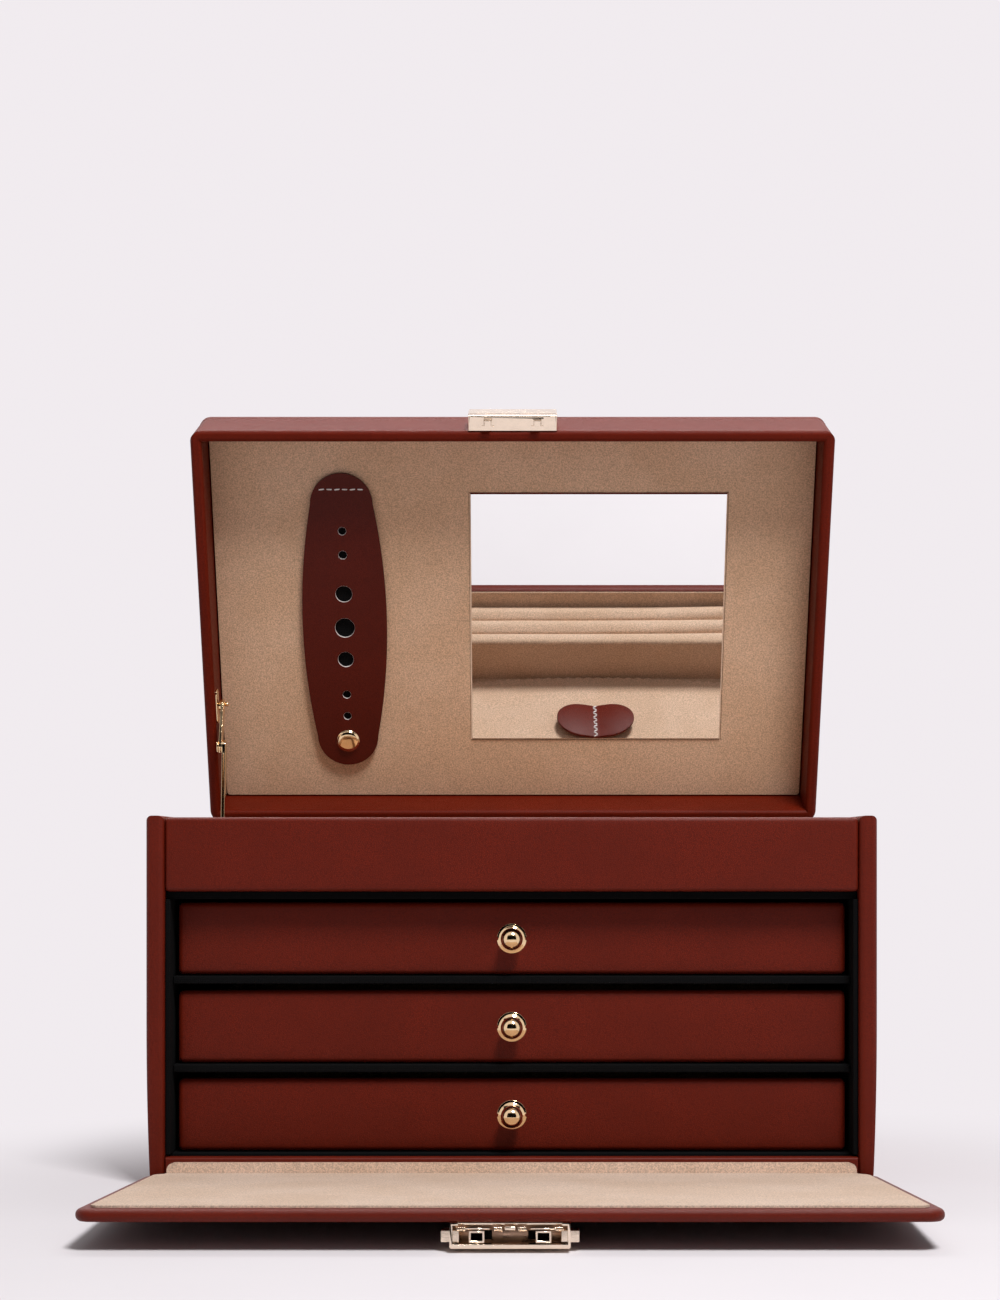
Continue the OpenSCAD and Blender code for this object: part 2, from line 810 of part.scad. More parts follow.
// A domed cap in front of the strap with a socket that passes through it
module snap_cap() {
    ball = (pow(snap_r, 2) + pow(snap_dome, 2)) / (2 * snap_dome);
    rim = snap_rim;
    color(GOLD) in_case() lid_pose() strap_place() translate([0, strap_mid - snap_inset, 0]) {
        difference() {
            union() {
                translate([0, 0, -rim - fit_gap]) cylinder(r = snap_r, h = rim);
                translate([0, 0, -rim - eps]) cylinder(r = snap_neck_r, h = strap_t + rim);
            }
            translate([0, 0, strap_t - 1]) cylinder(r = stud_tip_r + run_gap, h = 2);
        }
        translate([0, 0, -rim - fit_gap]) intersection() {
            translate([0, 0, ball - snap_dome]) sphere(ball, $fn = 96);
            translate([0, 0, -snap_dome]) cylinder(r = snap_r, h = snap_dome + eps);
        }
    }
}

module snap_stud() {
    color(GOLD) in_case() lid_pose()
        translate([-strap_x, -strap_l0 - snap_inset, lining_depth]) {
            cylinder(r = stud_post_r, h = lining_t / 2);
            translate([0, 0, -stud_collar_t]) cylinder(r = stud_collar_r, h = stud_collar_t);
            translate([0, 0, -strap_gap - stud_collar_t]) cylinder(r = stud_tip_r, h = 1);
        }
}

// ---- Flap ----
// The flap's own frame: X across, Y as the distance in front of the hinge line with the flap
// closed, Z as the height over the hinge line. flap_pose() lays it open.

flap_top = case_h - flap_drop - flap_hinge_z;

module flap_pose() {
    translate([0, -flap_gap, flap_hinge_z]) rotate([flap_open, 0, 0]) children();
}

module flap_board() {
    color(LEATHER) in_case() flap_pose() translate([0, -suede_t - flap_t, fit_gap])
        wrapped_board(case_w, flap_t, flap_top - fit_gap, flap_edge_r, flap_corner_r);
}

module flap_lining() {
    x = half_w - flap_border;
    color(SUEDE) in_case() flap_pose() rotate([90, 0, 0])
        linear_extrude(suede_t) translate([0, run_gap])
            soft_rect(2 * x, flap_top - flap_border - run_gap, flap_edge_r, flap_corner_r / 2);
}

module flap_hinge_strip() {
    x = inner_x - rail_edge_r;
    r = 3 * flap_strip_h / 4;
    color(SUEDE) in_case() translate([0, fascia_setback, flap_hinge_z + fit_gap]) rotate([90, 0, 0])
        linear_extrude(suede_t) soft_rect(2 * x, flap_strip_h, fit_gap, r);
}

module lid_hinge_strip() {
    x = half_w - side_t;
    color(LEATHER) in_case()
        span(-x, x, case_d, case_d + strip_t, hinge_z - strip_w, hinge_z - strip_off);
}

// ---- Lock ----

flap_face = -suede_t - flap_t;
lock_y = flap_face - lock_t;
lock_rise = 0.4;
lock_z1 = flap_top + lock_rise;
lock_z0 = lock_z1 - lock_l;
prong_y = flap_face - prong_offset;
hole_gap = 0.4;
collar_t = 1;

button_drop = 3;
button_z = lock_z1 - button_drop - button_l;
button_gap = 0.2;

// A bar with its middle on the prongs' middle line, w wide, t thick, from z0 to z1
module at_prong(w, t, z0, z1) {
    translate([prong_pitch / 2 - w / 2, prong_y - t / 2, z0]) cube([w, t, z1 - z0]);
}

// A housing whose end is sunk inside its walls, with a collar round each prong's hole
module lock_case() {
    w = prong_w + 2 * hole_gap;
    t = prong_t + 2 * hole_gap;
    bay = lock_w / 2 - button_in - button_travel - run_gap;
    floor_z = lock_z1 - lock_sink;
    inner = lock_w - 2 * lock_wall;
    color(GOLD) in_case() flap_pose() difference() {
        union() {
            difference() {
                translate([0, lock_y, lock_z0])
                    wrapped_board(lock_w, lock_t, lock_l, lock_edge_r, lock_wall);
                translate([-inner / 2, lock_y + lock_wall, floor_z])
                    cube([inner, lock_t - 2 * lock_wall, lock_sink + 1]);
            }
            for_both() at_prong(w + 2 * collar_t, t + 2 * collar_t, floor_z - 1,
                lock_z1 - fit_gap);
        }
        for_both() {
            at_prong(w, t, lock_z1 - prong_l - 2, lock_z1 + 1);
            translate([bay, prong_y - button_t / 2 - button_gap, button_z - button_gap])
                cube([lock_w, button_t + 2 * button_gap, button_l + 2 * button_gap]);
        }
    }
}

// The catch stands on the housing's floor and shows over its rear wall
module lock_latch() {
    z0 = lock_z1 - lock_sink + fit_gap;
    color(GOLD) in_case() flap_pose()
        translate([-latch_w / 2, flap_face - lock_wall - fit_gap - latch_t, z0])
            cube([latch_w, latch_t, lock_sink + latch_out - fit_gap]);
}

// A push button on the right of the lock, with two finger grooves along its end
module lock_button() {
    groove = button_l / 8;
    depth = button_out / 6;
    x = lock_w / 2 + button_out;
    difference() {
        translate([lock_w / 2 - button_in, prong_y - button_t / 2, button_z])
            cube([button_in + button_out, button_t, button_l]);
        for (s = [-1, 1]) translate([x - depth, prong_y - button_t, button_z
            + button_l / 2 + s * 1.5 * groove - groove / 2])
                cube([depth + 1, 2 * button_t, groove]);
    }
}

module lock_button_left() {
    color(GOLD) in_case() flap_pose() mirror([1, 0, 0]) lock_button();
}

module lock_button_right() {
    color(GOLD) in_case() flap_pose() lock_button();
}

// Outline of a prong in X and Z, from the keeper's face down: a slanted tip and a notch in
// its outer side, where the lock's pawl holds it
module prong_outline() {
    x = prong_w / 2;
    tip = prong_l / 8;
    notch = prong_w / 5;
    low = prong_l / 2 - prong_t / 4;
    polygon([[-x, 1], [x, 1], [x, -low], [x - notch, -low], [x - notch, -low - prong_t / 2],
        [x, -low - prong_t / 2], [x, tip - prong_l], [x - tip, -prong_l], [tip - x, -prong_l],
        [-x, tip - prong_l]]);
}

// The keeper sits on the lid's front; its prongs drop into the closed lock
module lock_keeper() {
    y = prong_y - flap_gap - case_d;
    line = keeper_t / 8;
    color(GOLD) in_case() lid_pose() {
        difference() {
            translate([0, -lid_len - keeper_t, run_gap])
                wrapped_board(lock_w, keeper_t, keeper_h, lock_edge_r, lock_wall);
            translate([-lock_w, -lid_len - keeper_t - 1, run_gap + keeper_h / 4])
                cube([2 * lock_w, 1 + line / 2, line]);
        }
        for_both() translate([prong_pitch / 2, y + prong_t / 2, run_gap]) rotate([90, 0, 0])
            linear_extrude(prong_t) prong_outline();
    }
}

// ---- Lid stay ----
// A link and an arm on the left. All pivots are pins along X. The arm runs inside the tray,
// beside its lining, and the link runs in the next layer outwards, inside the lid.

stay_case_at = [case_d - stay_back, tray_floor + stay_rise];
stay_lid_at = lid_at(stay_l, stay_h);
stay_reach = norm(stay_lid_at - stay_case_at);
// The bend that is left at the knuckle when the lid stands open
stay_slack = 0.4;
arm_len = stay_reach - link_len + stay_slack;
// Angle of the line from the case's pivot to the lid's, and of the arm, in Y and Z
stay_line_a = atan2(stay_lid_at[1] - stay_case_at[1], stay_lid_at[0] - stay_case_at[0]);
arm_bend = acos((pow(arm_len, 2) + pow(stay_reach, 2) - pow(link_len, 2))
    / (2 * arm_len * stay_reach));
arm_a = stay_line_a + arm_bend;
knuckle_at = stay_case_at + arm_len * [cos(arm_a), sin(arm_a)];
link_v = stay_lid_at - knuckle_at;
link_a = atan2(link_v[1], link_v[0]);

bracket_t = 0.6;
lid_plate_t = 0.8;
pin_head_t = 0.7;
pin_head_r = 2.8;
rivet_r = 2.6;
lid_pin_r = 2;
arm_x = -tray_x + bracket_t + run_gap;
link_x = arm_x - stay_side_gap - stay_t;
head_x = link_x - stay_side_gap / 2;

// A bar with round ends from p at angle a in Y and Z, at x, with a pin's bore at bore_at
module stay_bar(p, a, length, x, bore_at) {
    translate([x, p[0], p[1]]) rotate([a, 0, 0]) rotate([90, 0, 90])
        linear_extrude(stay_t) difference() {
            union() {
                translate([0, -stay_w / 2]) square([length, stay_w]);
                circle(stay_w / 2);
                translate([length, 0]) circle(stay_w / 2);
            }
            translate([bore_at, 0]) circle(stay_pin_r + pin_gap);
        }
}

// A pin along X from x0 to x1 at p in Y and Z
module stay_pin(p, x0, x1, r) {
    translate([x0, p[0], p[1]]) rotate([0, 90, 0]) cylinder(r = r, h = x1 - x0);
}

module stay_bracket() {
    x = arm_x + stay_t + run_gap;
    color(GOLD) in_case() {
        translate([-tray_x, stay_case_at[0], stay_case_at[1]]) rotate([90, 0, 90])
            linear_extrude(bracket_t) translate([0, -stay_w / 2])
                soft_rect(bracket_w, bracket_l, bracket_r, bracket_r);
        stay_pin(stay_case_at, -tray_x, x + pin_head_t, stay_pin_r);
        stay_pin(stay_case_at, x, x + pin_head_t, pin_head_r);
    }
}

module stay_arm() {
    color(GOLD) in_case() {
        stay_bar(stay_case_at, arm_a, arm_len, arm_x, 0);
        stay_pin(knuckle_at, head_x - pin_head_t, arm_x + eps, stay_pin_r);
        stay_pin(knuckle_at, head_x - pin_head_t, head_x, rivet_r);
    }
}

module stay_link() {
    color(GOLD) in_case() {
        stay_bar(knuckle_at, link_a, link_len, link_x, 0);
        stay_pin(stay_lid_at, lid_wall - half_w + lid_plate_t + run_gap,
            link_x + stay_t + stay_side_gap / 2, lid_pin_r);
    }
}

module stay_lid_plate() {
    x = half_w - lid_wall;
    color(GOLD) in_case() lid_pose() translate([-x, -stay_l, stay_h])
        rotate([90, 0, 90]) linear_extrude(lid_plate_t) translate([0, -lid_plate_w / 2])
            soft_rect(bracket_l, lid_plate_w, bracket_r, bracket_r);
}

side_panel_left();
side_panel_right();
rear_panel();
base_board();
base_cover();
bottom_rail();
cabinet_floor();
drawer_shelf_lower();
drawer_shelf_upper();
cabinet_liner();
front_fascia();
tray_board();
tray_lining();
ring_roll_front();
ring_roll_middle();
ring_roll_rear();
tray_divider();
tray_cross_divider();
tray_cover();
cover_tab();
flap_hinge_strip();
lid_hinge_strip();
stay_bracket();
drawer_front_bottom();
drawer_front_middle();
drawer_front_top();
drawer_box_bottom();
drawer_box_middle();
drawer_box_top();
drawer_lining_bottom();
drawer_lining_middle();
drawer_lining_top();
drawer_knob_bottom();
drawer_knob_middle();
drawer_knob_top();
lid_frame();
lid_top_panel();
lid_lining_panel();
lid_hinge_leaf();
mirror_glass();
strap_root();
earring_strap();
snap_cap();
snap_stud();
lock_keeper();
stay_lid_plate();
stay_arm();
stay_link();
flap_board();
flap_lining();
lock_case();
lock_latch();
lock_button_left();
lock_button_right();
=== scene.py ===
"""Finishes the jewellery case: leather, suede, gold fittings, mirror glass and a small studio."""

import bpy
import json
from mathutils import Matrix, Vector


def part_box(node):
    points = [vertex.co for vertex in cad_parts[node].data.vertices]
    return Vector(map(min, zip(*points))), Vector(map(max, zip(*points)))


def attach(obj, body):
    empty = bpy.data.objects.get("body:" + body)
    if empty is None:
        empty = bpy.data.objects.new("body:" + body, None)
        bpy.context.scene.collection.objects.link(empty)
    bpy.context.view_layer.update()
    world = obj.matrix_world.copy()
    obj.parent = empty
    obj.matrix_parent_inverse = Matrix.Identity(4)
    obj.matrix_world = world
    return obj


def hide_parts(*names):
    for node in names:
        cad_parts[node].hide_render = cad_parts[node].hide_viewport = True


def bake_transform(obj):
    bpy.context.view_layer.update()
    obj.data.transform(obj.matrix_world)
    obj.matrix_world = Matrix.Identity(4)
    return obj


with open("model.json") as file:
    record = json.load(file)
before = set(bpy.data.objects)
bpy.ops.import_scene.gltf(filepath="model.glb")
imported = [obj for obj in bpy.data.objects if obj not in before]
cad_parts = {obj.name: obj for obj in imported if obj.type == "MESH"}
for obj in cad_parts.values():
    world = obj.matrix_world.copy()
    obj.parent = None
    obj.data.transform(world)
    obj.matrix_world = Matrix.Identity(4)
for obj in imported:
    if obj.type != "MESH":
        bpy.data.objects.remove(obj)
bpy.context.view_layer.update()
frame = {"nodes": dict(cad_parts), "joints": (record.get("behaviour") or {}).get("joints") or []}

import json
import math

import bmesh
import bpy
from bpy.props import (
    BoolProperty,
    FloatProperty,
    FloatVectorProperty,
    IntProperty,
    PointerProperty,
)
from mathutils import Matrix, Vector

bl_info = {
    "name": "Leather jewellery case",
    "version": (1, 0, 0),
    "blender": (4, 5, 0),
    "location": "View3D > Sidebar > Jewellery case",
    "description": "Wraps, lines and fits out a leather jewellery case over its packed frame",
    "category": "Object",
}

MM = 0.001
EDGE = 0.0004  # rounding of most edges of leather and board
HINGES = {joint["name"]: joint for joint in frame["joints"]}


def hinge_frame(name, turn):
    """The place of a hinged part whose own axes lie true when it is shut."""
    return Matrix.Translation(HINGES[name]["pos_m"]) @ Matrix.Rotation(turn, 4, "X")


LID_TURN = math.radians(HINGES["lid_hinge"]["range_deg"][0])
FLAP_TURN = -math.radians(HINGES["flap_hinge"]["range_deg"][0])
LID = hinge_frame("lid_hinge", LID_TURN)
FLAP = hinge_frame("flap_hinge", FLAP_TURN)


def extremes(points):
    """Lowest and highest corner of the box round some points."""
    low = Vector([min(p[i] for p in points) for i in range(3)])
    high = Vector([max(p[i] for p in points) for i in range(3)])
    return low, high


def node_box(node, place=None):
    """Lowest and highest corner of a node in the axes of the given place."""
    if place is None:
        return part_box(node)
    back = place.inverted()
    return extremes([back @ corner.co for corner in frame["nodes"][node].data.vertices])


# ---- Sizes and colours that a user would change ----


def colour_setting(name, description, default):
    return FloatVectorProperty(name=name, description=description, default=default,
                               subtype="COLOR", size=3, min=0, max=1)


def length_setting(name, description, default, precision=5, **limits):
    return FloatProperty(name=name, description=description, default=default, unit="LENGTH",
                         precision=precision, **limits)


def share_setting(name, description, default):
    return FloatProperty(name=name, description=description, default=default, min=0, max=1,
                         subtype="FACTOR")


class LeatherFinish(bpy.types.PropertyGroup):
    """The leather that wraps the case."""

    colour: colour_setting("Colour", "Colour of the leather", (0.150, 0.0112, 0.0026))
    pebble: length_setting("Pebble", "Width of one pebble of the grain", 0.00055,
                           min=0.0002, max=0.003)
    relief: length_setting("Relief", "Depth of the grain", 0.00005, 6, max=0.001)
    roughness: share_setting("Roughness", "Roughness of the top coat", 0.40)


class SuedeFinish(bpy.types.PropertyGroup):
    """The brushed suede inside the case."""

    colour: colour_setting("Colour", "Colour of the suede", (0.760, 0.540, 0.395))
    nap: length_setting("Nap", "Width of a tuft of the nap", 0.0006, min=0.0003, max=0.004)
    relief: length_setting("Relief", "Depth of the nap", 0.00022, 6, max=0.001)


class GoldFinish(bpy.types.PropertyGroup):
    """The plating of the fittings."""

    colour: colour_setting("Colour", "Colour of the plating", (0.86, 0.63, 0.37))
    pale_colour: colour_setting("Pale colour", "Colour of the plating on the lock and the keeper",
                                (0.90, 0.75, 0.60))
    roughness: share_setting("Roughness", "Roughness of the plating", 0.10)


class Padding(bpy.types.PropertyGroup):
    """How far the padded pieces swell."""

    lid_crown: length_setting("Lid crown", "Rise of the lid's padded top", 0.0011, max=0.004)
    face_crown: length_setting("Drawer crown", "Swell of a drawer's face", 0.0005, max=0.002)
    roll_voxel: length_setting("Roll mesh", "Mesh size of the ring rolls before they swell",
                               0.0021, min=0.001, max=0.006)
    roll_pressure: FloatProperty(
        name="Roll pressure", description="Pressure of the filling in the ring rolls", default=4.0,
        min=0, max=20,
    )
    simulate: BoolProperty(
        name="Simulate", description="Swell the ring rolls by cloth simulation", default=True
    )


class Needlework(bpy.types.PropertyGroup):
    """Stitches and pinked edges."""

    stitches: IntProperty(
        name="Stitches", description="Stitches across the strap", default=6, min=2, max=20
    )
    stitch_length: length_setting("Stitch length", "Length of one stitch", 0.0027,
                                  min=0.001, max=0.006)
    stitch_pitch: length_setting("Stitch pitch", "Distance from stitch to stitch", 0.00345,
                                 min=0.001, max=0.008)
    thread: length_setting("Thread", "Thickness of the thread", 0.0007, min=0.0002, max=0.0015)
    teeth: IntProperty(
        name="Teeth", description="Teeth along the cover's pinked edge", default=34, min=4, max=80
    )
    tooth_depth: length_setting("Tooth depth", "Depth of a tooth of the pinked edge", 0.0017,
                                min=0.0002, max=0.004)


class Studio(bpy.types.PropertyGroup):
    """Camera, lamps and paper."""

    camera_at: FloatVectorProperty(
        name="Camera", description="Place of the camera", subtype="TRANSLATION", size=3,
        unit="LENGTH", default=(0.0031, -0.9161, 0.128),
    )
    lens: FloatProperty(name="Lens", description="Focal length in millimetres", default=60.06)
    shift: FloatVectorProperty(
        name="Shift", description="Lens shift sideways and upwards", size=2,
        default=(-0.0152, 0.1555),
    )
    paper: colour_setting("Paper", "Colour of the floor and the background",
                          (0.880, 0.835, 0.865))
    key: FloatProperty(name="Key lamp", description="Power of the lamp in front", default=21.0)
    top: FloatProperty(name="Top lamp", description="Power of the lamp overhead", default=2.4)
    sky: FloatProperty(name="Sky", description="Strength of the light all round", default=0.20)


class CaseSettings(bpy.types.PropertyGroup):
    """All settings of the jewellery case."""

    leather: PointerProperty(type=LeatherFinish, name="Leather")
    suede: PointerProperty(type=SuedeFinish, name="Suede")
    gold: PointerProperty(type=GoldFinish, name="Gold")
    padding: PointerProperty(type=Padding, name="Padding")
    needlework: PointerProperty(type=Needlework, name="Needlework")
    studio: PointerProperty(type=Studio, name="Studio")


def settings():
    """The settings kept in the scene."""
    return bpy.context.scene.jewellery_case


# ---- Modelling by hand ----


def clear():
    """Leaves edit mode with nothing selected."""
    active = bpy.context.view_layer.objects.active
    if active is not None and active.mode != "OBJECT":
        bpy.ops.object.mode_set(mode="OBJECT")
    bpy.ops.object.select_all(action="DESELECT")


def grasp(piece):
    """Selects one piece alone and makes it active."""
    clear()
    bpy.context.view_layer.objects.active = piece
    piece.select_set(True)


def settle(piece, place=None):
    """Puts a piece in its place, as part of its mesh."""
    grasp(piece)
    if place is not None:
        piece.matrix_world = place
    bpy.ops.object.transform_apply(location=True, rotation=True, scale=True)
    return piece


def name_new(name):
    """Names the primitive that was just added."""
    piece = bpy.context.object
    piece.name = name
    piece.data.name = name
    return settle(piece)


def primitive(name, kind, **values):
    """A primitive of the given kind, named."""
    clear()
    getattr(bpy.ops.mesh, f"primitive_{kind}_add")(**values)
    return name_new(name)


def block(name, low, high):
    """A block between two corners, to be shaped."""
    clear()
    low, high = Vector(low), Vector(high)
    bpy.ops.mesh.primitive_cube_add(size=1, location=(low + high) / 2)
    bpy.context.object.scale = high - low
    return name_new(name)


def pick(piece, kind, test):
    """Opens a piece in edit mode with the faces, edges or corners that pass a test selected."""
    grasp(piece)
    bpy.ops.object.mode_set(mode="EDIT")
    bpy.ops.mesh.select_mode(type=kind)
    bpy.ops.mesh.select_all(action="DESELECT")
    form = bmesh.from_edit_mesh(piece.data)
    form.normal_update()
    parts = {"FACE": form.faces, "EDGE": form.edges, "VERT": form.verts}[kind]
    for part in parts:
        if test(part):
            part.select_set(True)
    form.select_flush_mode()
    bmesh.update_edit_mesh(piece.data)


def close_edit():
    bpy.ops.object.mode_set(mode="OBJECT")


def along(edge, axis):
    """True if an edge runs along an axis."""
    a, b = (v.co for v in edge.verts)
    d = b - a
    return abs(d[axis]) > 0.999 * d.length


def at(value, level, slack=0.00001):
    return abs(value - level) < slack


def round_over(piece, test, radius, segments=4):
    """Rounds the edges that pass a test."""
    pick(piece, "EDGE", test)
    bpy.ops.mesh.bevel(
        offset=radius, segments=segments, profile=0.5, affect="EDGES", clamp_overlap=True
    )
    close_edit()


def swell(piece, test, steps):
    """Draws the face that passes a test out in steps of (inwards, outwards), its sides kept."""
    pick(piece, "FACE", test)
    form = bmesh.from_edit_mesh(piece.data)
    face = [f for f in form.faces if f.select][0]
    normal = face.normal.copy()
    low, high = extremes([v.co for v in face.verts])
    middle, half = (low + high) / 2, (high - low) / 2
    for inwards, outwards in steps:
        bpy.ops.mesh.extrude_region_move(
            TRANSFORM_OT_translate={"value": normal * outwards}
        )
        middle += normal * outwards
        shares = [1 - inwards / h if h > 0.0001 else 1 for h in half]
        bpy.ops.transform.resize(value=shares, center_override=middle)
        half = Vector([h * share for h, share in zip(half, shares)])
    close_edit()


def apply_all(piece):
    """Applies a piece's modifiers in their order."""
    grasp(piece)
    for modifier in list(piece.modifiers):
        bpy.ops.object.modifier_apply(modifier=modifier.name)


def soften_edges(piece, width, segments=2, angle=35):
    """Rounds every sharp edge a little."""
    bevel = piece.modifiers.new("edges", "BEVEL")
    bevel.width = width
    bevel.segments = segments
    bevel.limit_method = "ANGLE"
    bevel.angle_limit = math.radians(angle)
    bevel.use_clamp_overlap = True
    apply_all(piece)


def thicken(piece, thickness, offset):
    """Gives a surface its thickness."""
    body = piece.modifiers.new("body", "SOLIDIFY")
    body.thickness = thickness
    body.offset = offset
    apply_all(piece)


def subdivide(piece):
    """Rounds a piece by one level of subdivision."""
    finer = piece.modifiers.new("finer", "SUBSURF")
    finer.levels = finer.render_levels = 1
    apply_all(piece)


def even_normals(piece):
    """Keeps flat faces flat beside their round edges."""
    weighted = piece.modifiers.new("normals", "WEIGHTED_NORMAL")
    weighted.keep_sharp = True
    apply_all(piece)


def smooth(piece, angle=50):
    grasp(piece)
    bpy.ops.object.shade_smooth_by_angle(angle=math.radians(angle))


def outwards(piece):
    """Merges doubles and turns the faces outwards."""
    pick(piece, "FACE", lambda f: True)
    bpy.ops.mesh.remove_doubles(threshold=0.000002)
    bpy.ops.mesh.normals_make_consistent(inside=False)
    close_edit()


def from_node(name, node, place=None):
    """A whole copy of a node's own mesh, its flat faces in one, in the axes of the place."""
    copy = bpy.data.objects.new(name, frame["nodes"][node].data.copy())
    copy.data.name = name
    copy.data.materials.clear()
    bpy.context.scene.collection.objects.link(copy)
    grasp(copy)
    if copy.data.has_custom_normals:
        bpy.ops.mesh.customdata_custom_splitnormals_clear()
    pick(copy, "FACE", lambda f: True)
    bpy.ops.mesh.remove_doubles(threshold=0.00001)
    bpy.ops.mesh.dissolve_limited(angle_limit=math.radians(0.4))
    close_edit()
    if place is not None:
        settle(copy, place.inverted())
    return copy


def turned(name, profile, steps=64):
    """A turned piece about Z: a point drawn out along (radius, height), then spun."""
    piece = primitive(name, "plane", size=0.001)
    pick(piece, "VERT", lambda v: True)
    bpy.ops.mesh.merge(type="CENTER")
    bpy.ops.transform.translate(value=(profile[0][0], 0, profile[0][1]))
    for (r0, z0), (r1, z1) in zip(profile, profile[1:]):
        bpy.ops.mesh.extrude_region_move(
            TRANSFORM_OT_translate={"value": (r1 - r0, 0, z1 - z0)}
        )
    bpy.ops.mesh.select_all(action="SELECT")
    bpy.ops.mesh.spin(steps=steps, angle=2 * math.pi, center=(0, 0, 0), axis=(0, 0, 1))
    close_edit()
    outwards(piece)
    return piece


def arc_points(middle, radius, start, end, count):
    """(radius, height) points of an arc, its angles in degrees from the radius' direction."""
    points = []
    for i in range(count + 1):
        a = math.radians(start + (end - start) * i / count)
        points.append((middle[0] + radius * math.cos(a), middle[1] + radius * math.sin(a)))
    return points


def twin(piece, name, move):
    """A copy with its own mesh, moved."""
    copy = bpy.data.objects.new(name, piece.data.copy())
    copy.data.name = name
    bpy.context.scene.collection.objects.link(copy)
    copy.location = move
    return settle(copy)


def join(pieces, name):
    """Joins pieces into the first of them."""
    clear()
    for piece in pieces:
        piece.select_set(True)
    bpy.context.view_layer.objects.active = pieces[0]
    if len(pieces) > 1:
        bpy.ops.object.join()
    pieces[0].name = name
    pieces[0].data.name = name
    return pieces[0]


def cut(piece, cutter):
    """Cuts one piece out of another."""
    knife = piece.modifiers.new("cut", "BOOLEAN")
    knife.operation = "DIFFERENCE"
    knife.solver = "EXACT"
    knife.object = cutter
    apply_all(piece)
    bpy.data.objects.remove(cutter)


def slices(piece, axis, levels):
    """Cuts level lines round a piece, square to an axis."""
    for level in levels:
        point, normal = [0, 0, 0], [0, 0, 0]
        point[axis] = level
        normal[axis] = 1
        pick(piece, "FACE", lambda f: True)
        bpy.ops.mesh.bisect(plane_co=point, plane_no=normal)
        close_edit()


def stitch(name, start, end, lift, thickness):
    """One stitch of thread between two points, sunk at its ends, with lift as its up side."""
    start, end, up = Vector(start), Vector(end), Vector(lift).normalized()
    length = (end - start).length
    piece = block(name, (-length / 2, -thickness / 2, -thickness * 0.35),
                  (length / 2, thickness / 2, thickness * 0.35))
    slices(piece, 0, [-length * 0.38, -length * 0.2, 0, length * 0.2, length * 0.38])
    for corner in piece.data.vertices:
        share = abs(corner.co.x) / (length / 2)
        corner.co.z -= thickness * 0.45 * share ** 4
        corner.co.y *= 1 - 0.3 * share ** 2
    subdivide(piece)
    x = (end - start).normalized()
    y = up.cross(x).normalized()
    turn = Matrix((x, y, x.cross(y))).transposed().to_4x4()
    return settle(piece, Matrix.Translation((start + end) / 2) @ turn)


# ---- Materials ----


def add(tree, kind, at_x, at_y, **values):
    """Adds a node and sets its properties, or its sockets by name."""
    made = tree.nodes.new(kind)
    made.location = (at_x, at_y)
    for key, value in values.items():
        if hasattr(made, key):
            setattr(made, key, value)
        else:
            made.inputs[key.replace("_", " ")].default_value = value
    return made


def group_shell(name, inputs, outputs):
    """An empty node group with its sockets and its two end nodes."""
    tree = bpy.data.node_groups.new(name, "ShaderNodeTree")
    for label, kind, value in inputs:
        socket = tree.interface.new_socket(name=label, in_out="INPUT", socket_type=kind)
        if value is not None:
            socket.default_value = value
    for label, kind in outputs:
        tree.interface.new_socket(name=label, in_out="OUTPUT", socket_type=kind)
    return tree, add(tree, "NodeGroupInput", -900, 0), add(tree, "NodeGroupOutput", 700, 0)


def maths(tree, operation, at_x, at_y, *terms):
    """A sum or product of sockets and numbers."""
    made = add(tree, "ShaderNodeMath", at_x, at_y, operation=operation)
    for i, term in enumerate(terms):
        if isinstance(term, (int, float)):
            made.inputs[i].default_value = term
        else:
            tree.links.new(term, made.inputs[i])
    return made.outputs[0]


def ramp(tree, at_x, at_y, value, low, high, to_low=0.0, to_high=1.0):
    """Takes a value from one range to another, held at the ends."""
    made = add(tree, "ShaderNodeMapRange", at_x, at_y, interpolation_type="SMOOTHSTEP")
    for label, number in zip(("From Min", "From Max", "To Min", "To Max"),
                             (low, high, to_low, to_high)):
        made.inputs[label].default_value = number
    tree.links.new(value, made.inputs["Value"])
    return made.outputs["Result"]


def noise(tree, at_x, at_y, vector, scale, detail=2.0, rough=0.5):
    made = add(tree, "ShaderNodeTexNoise", at_x, at_y, Detail=detail, Roughness=rough)
    tree.links.new(vector, made.inputs["Vector"])
    if isinstance(scale, (int, float)):
        made.inputs["Scale"].default_value = scale
    else:
        tree.links.new(scale, made.inputs["Scale"])
    return made.outputs["Fac"]


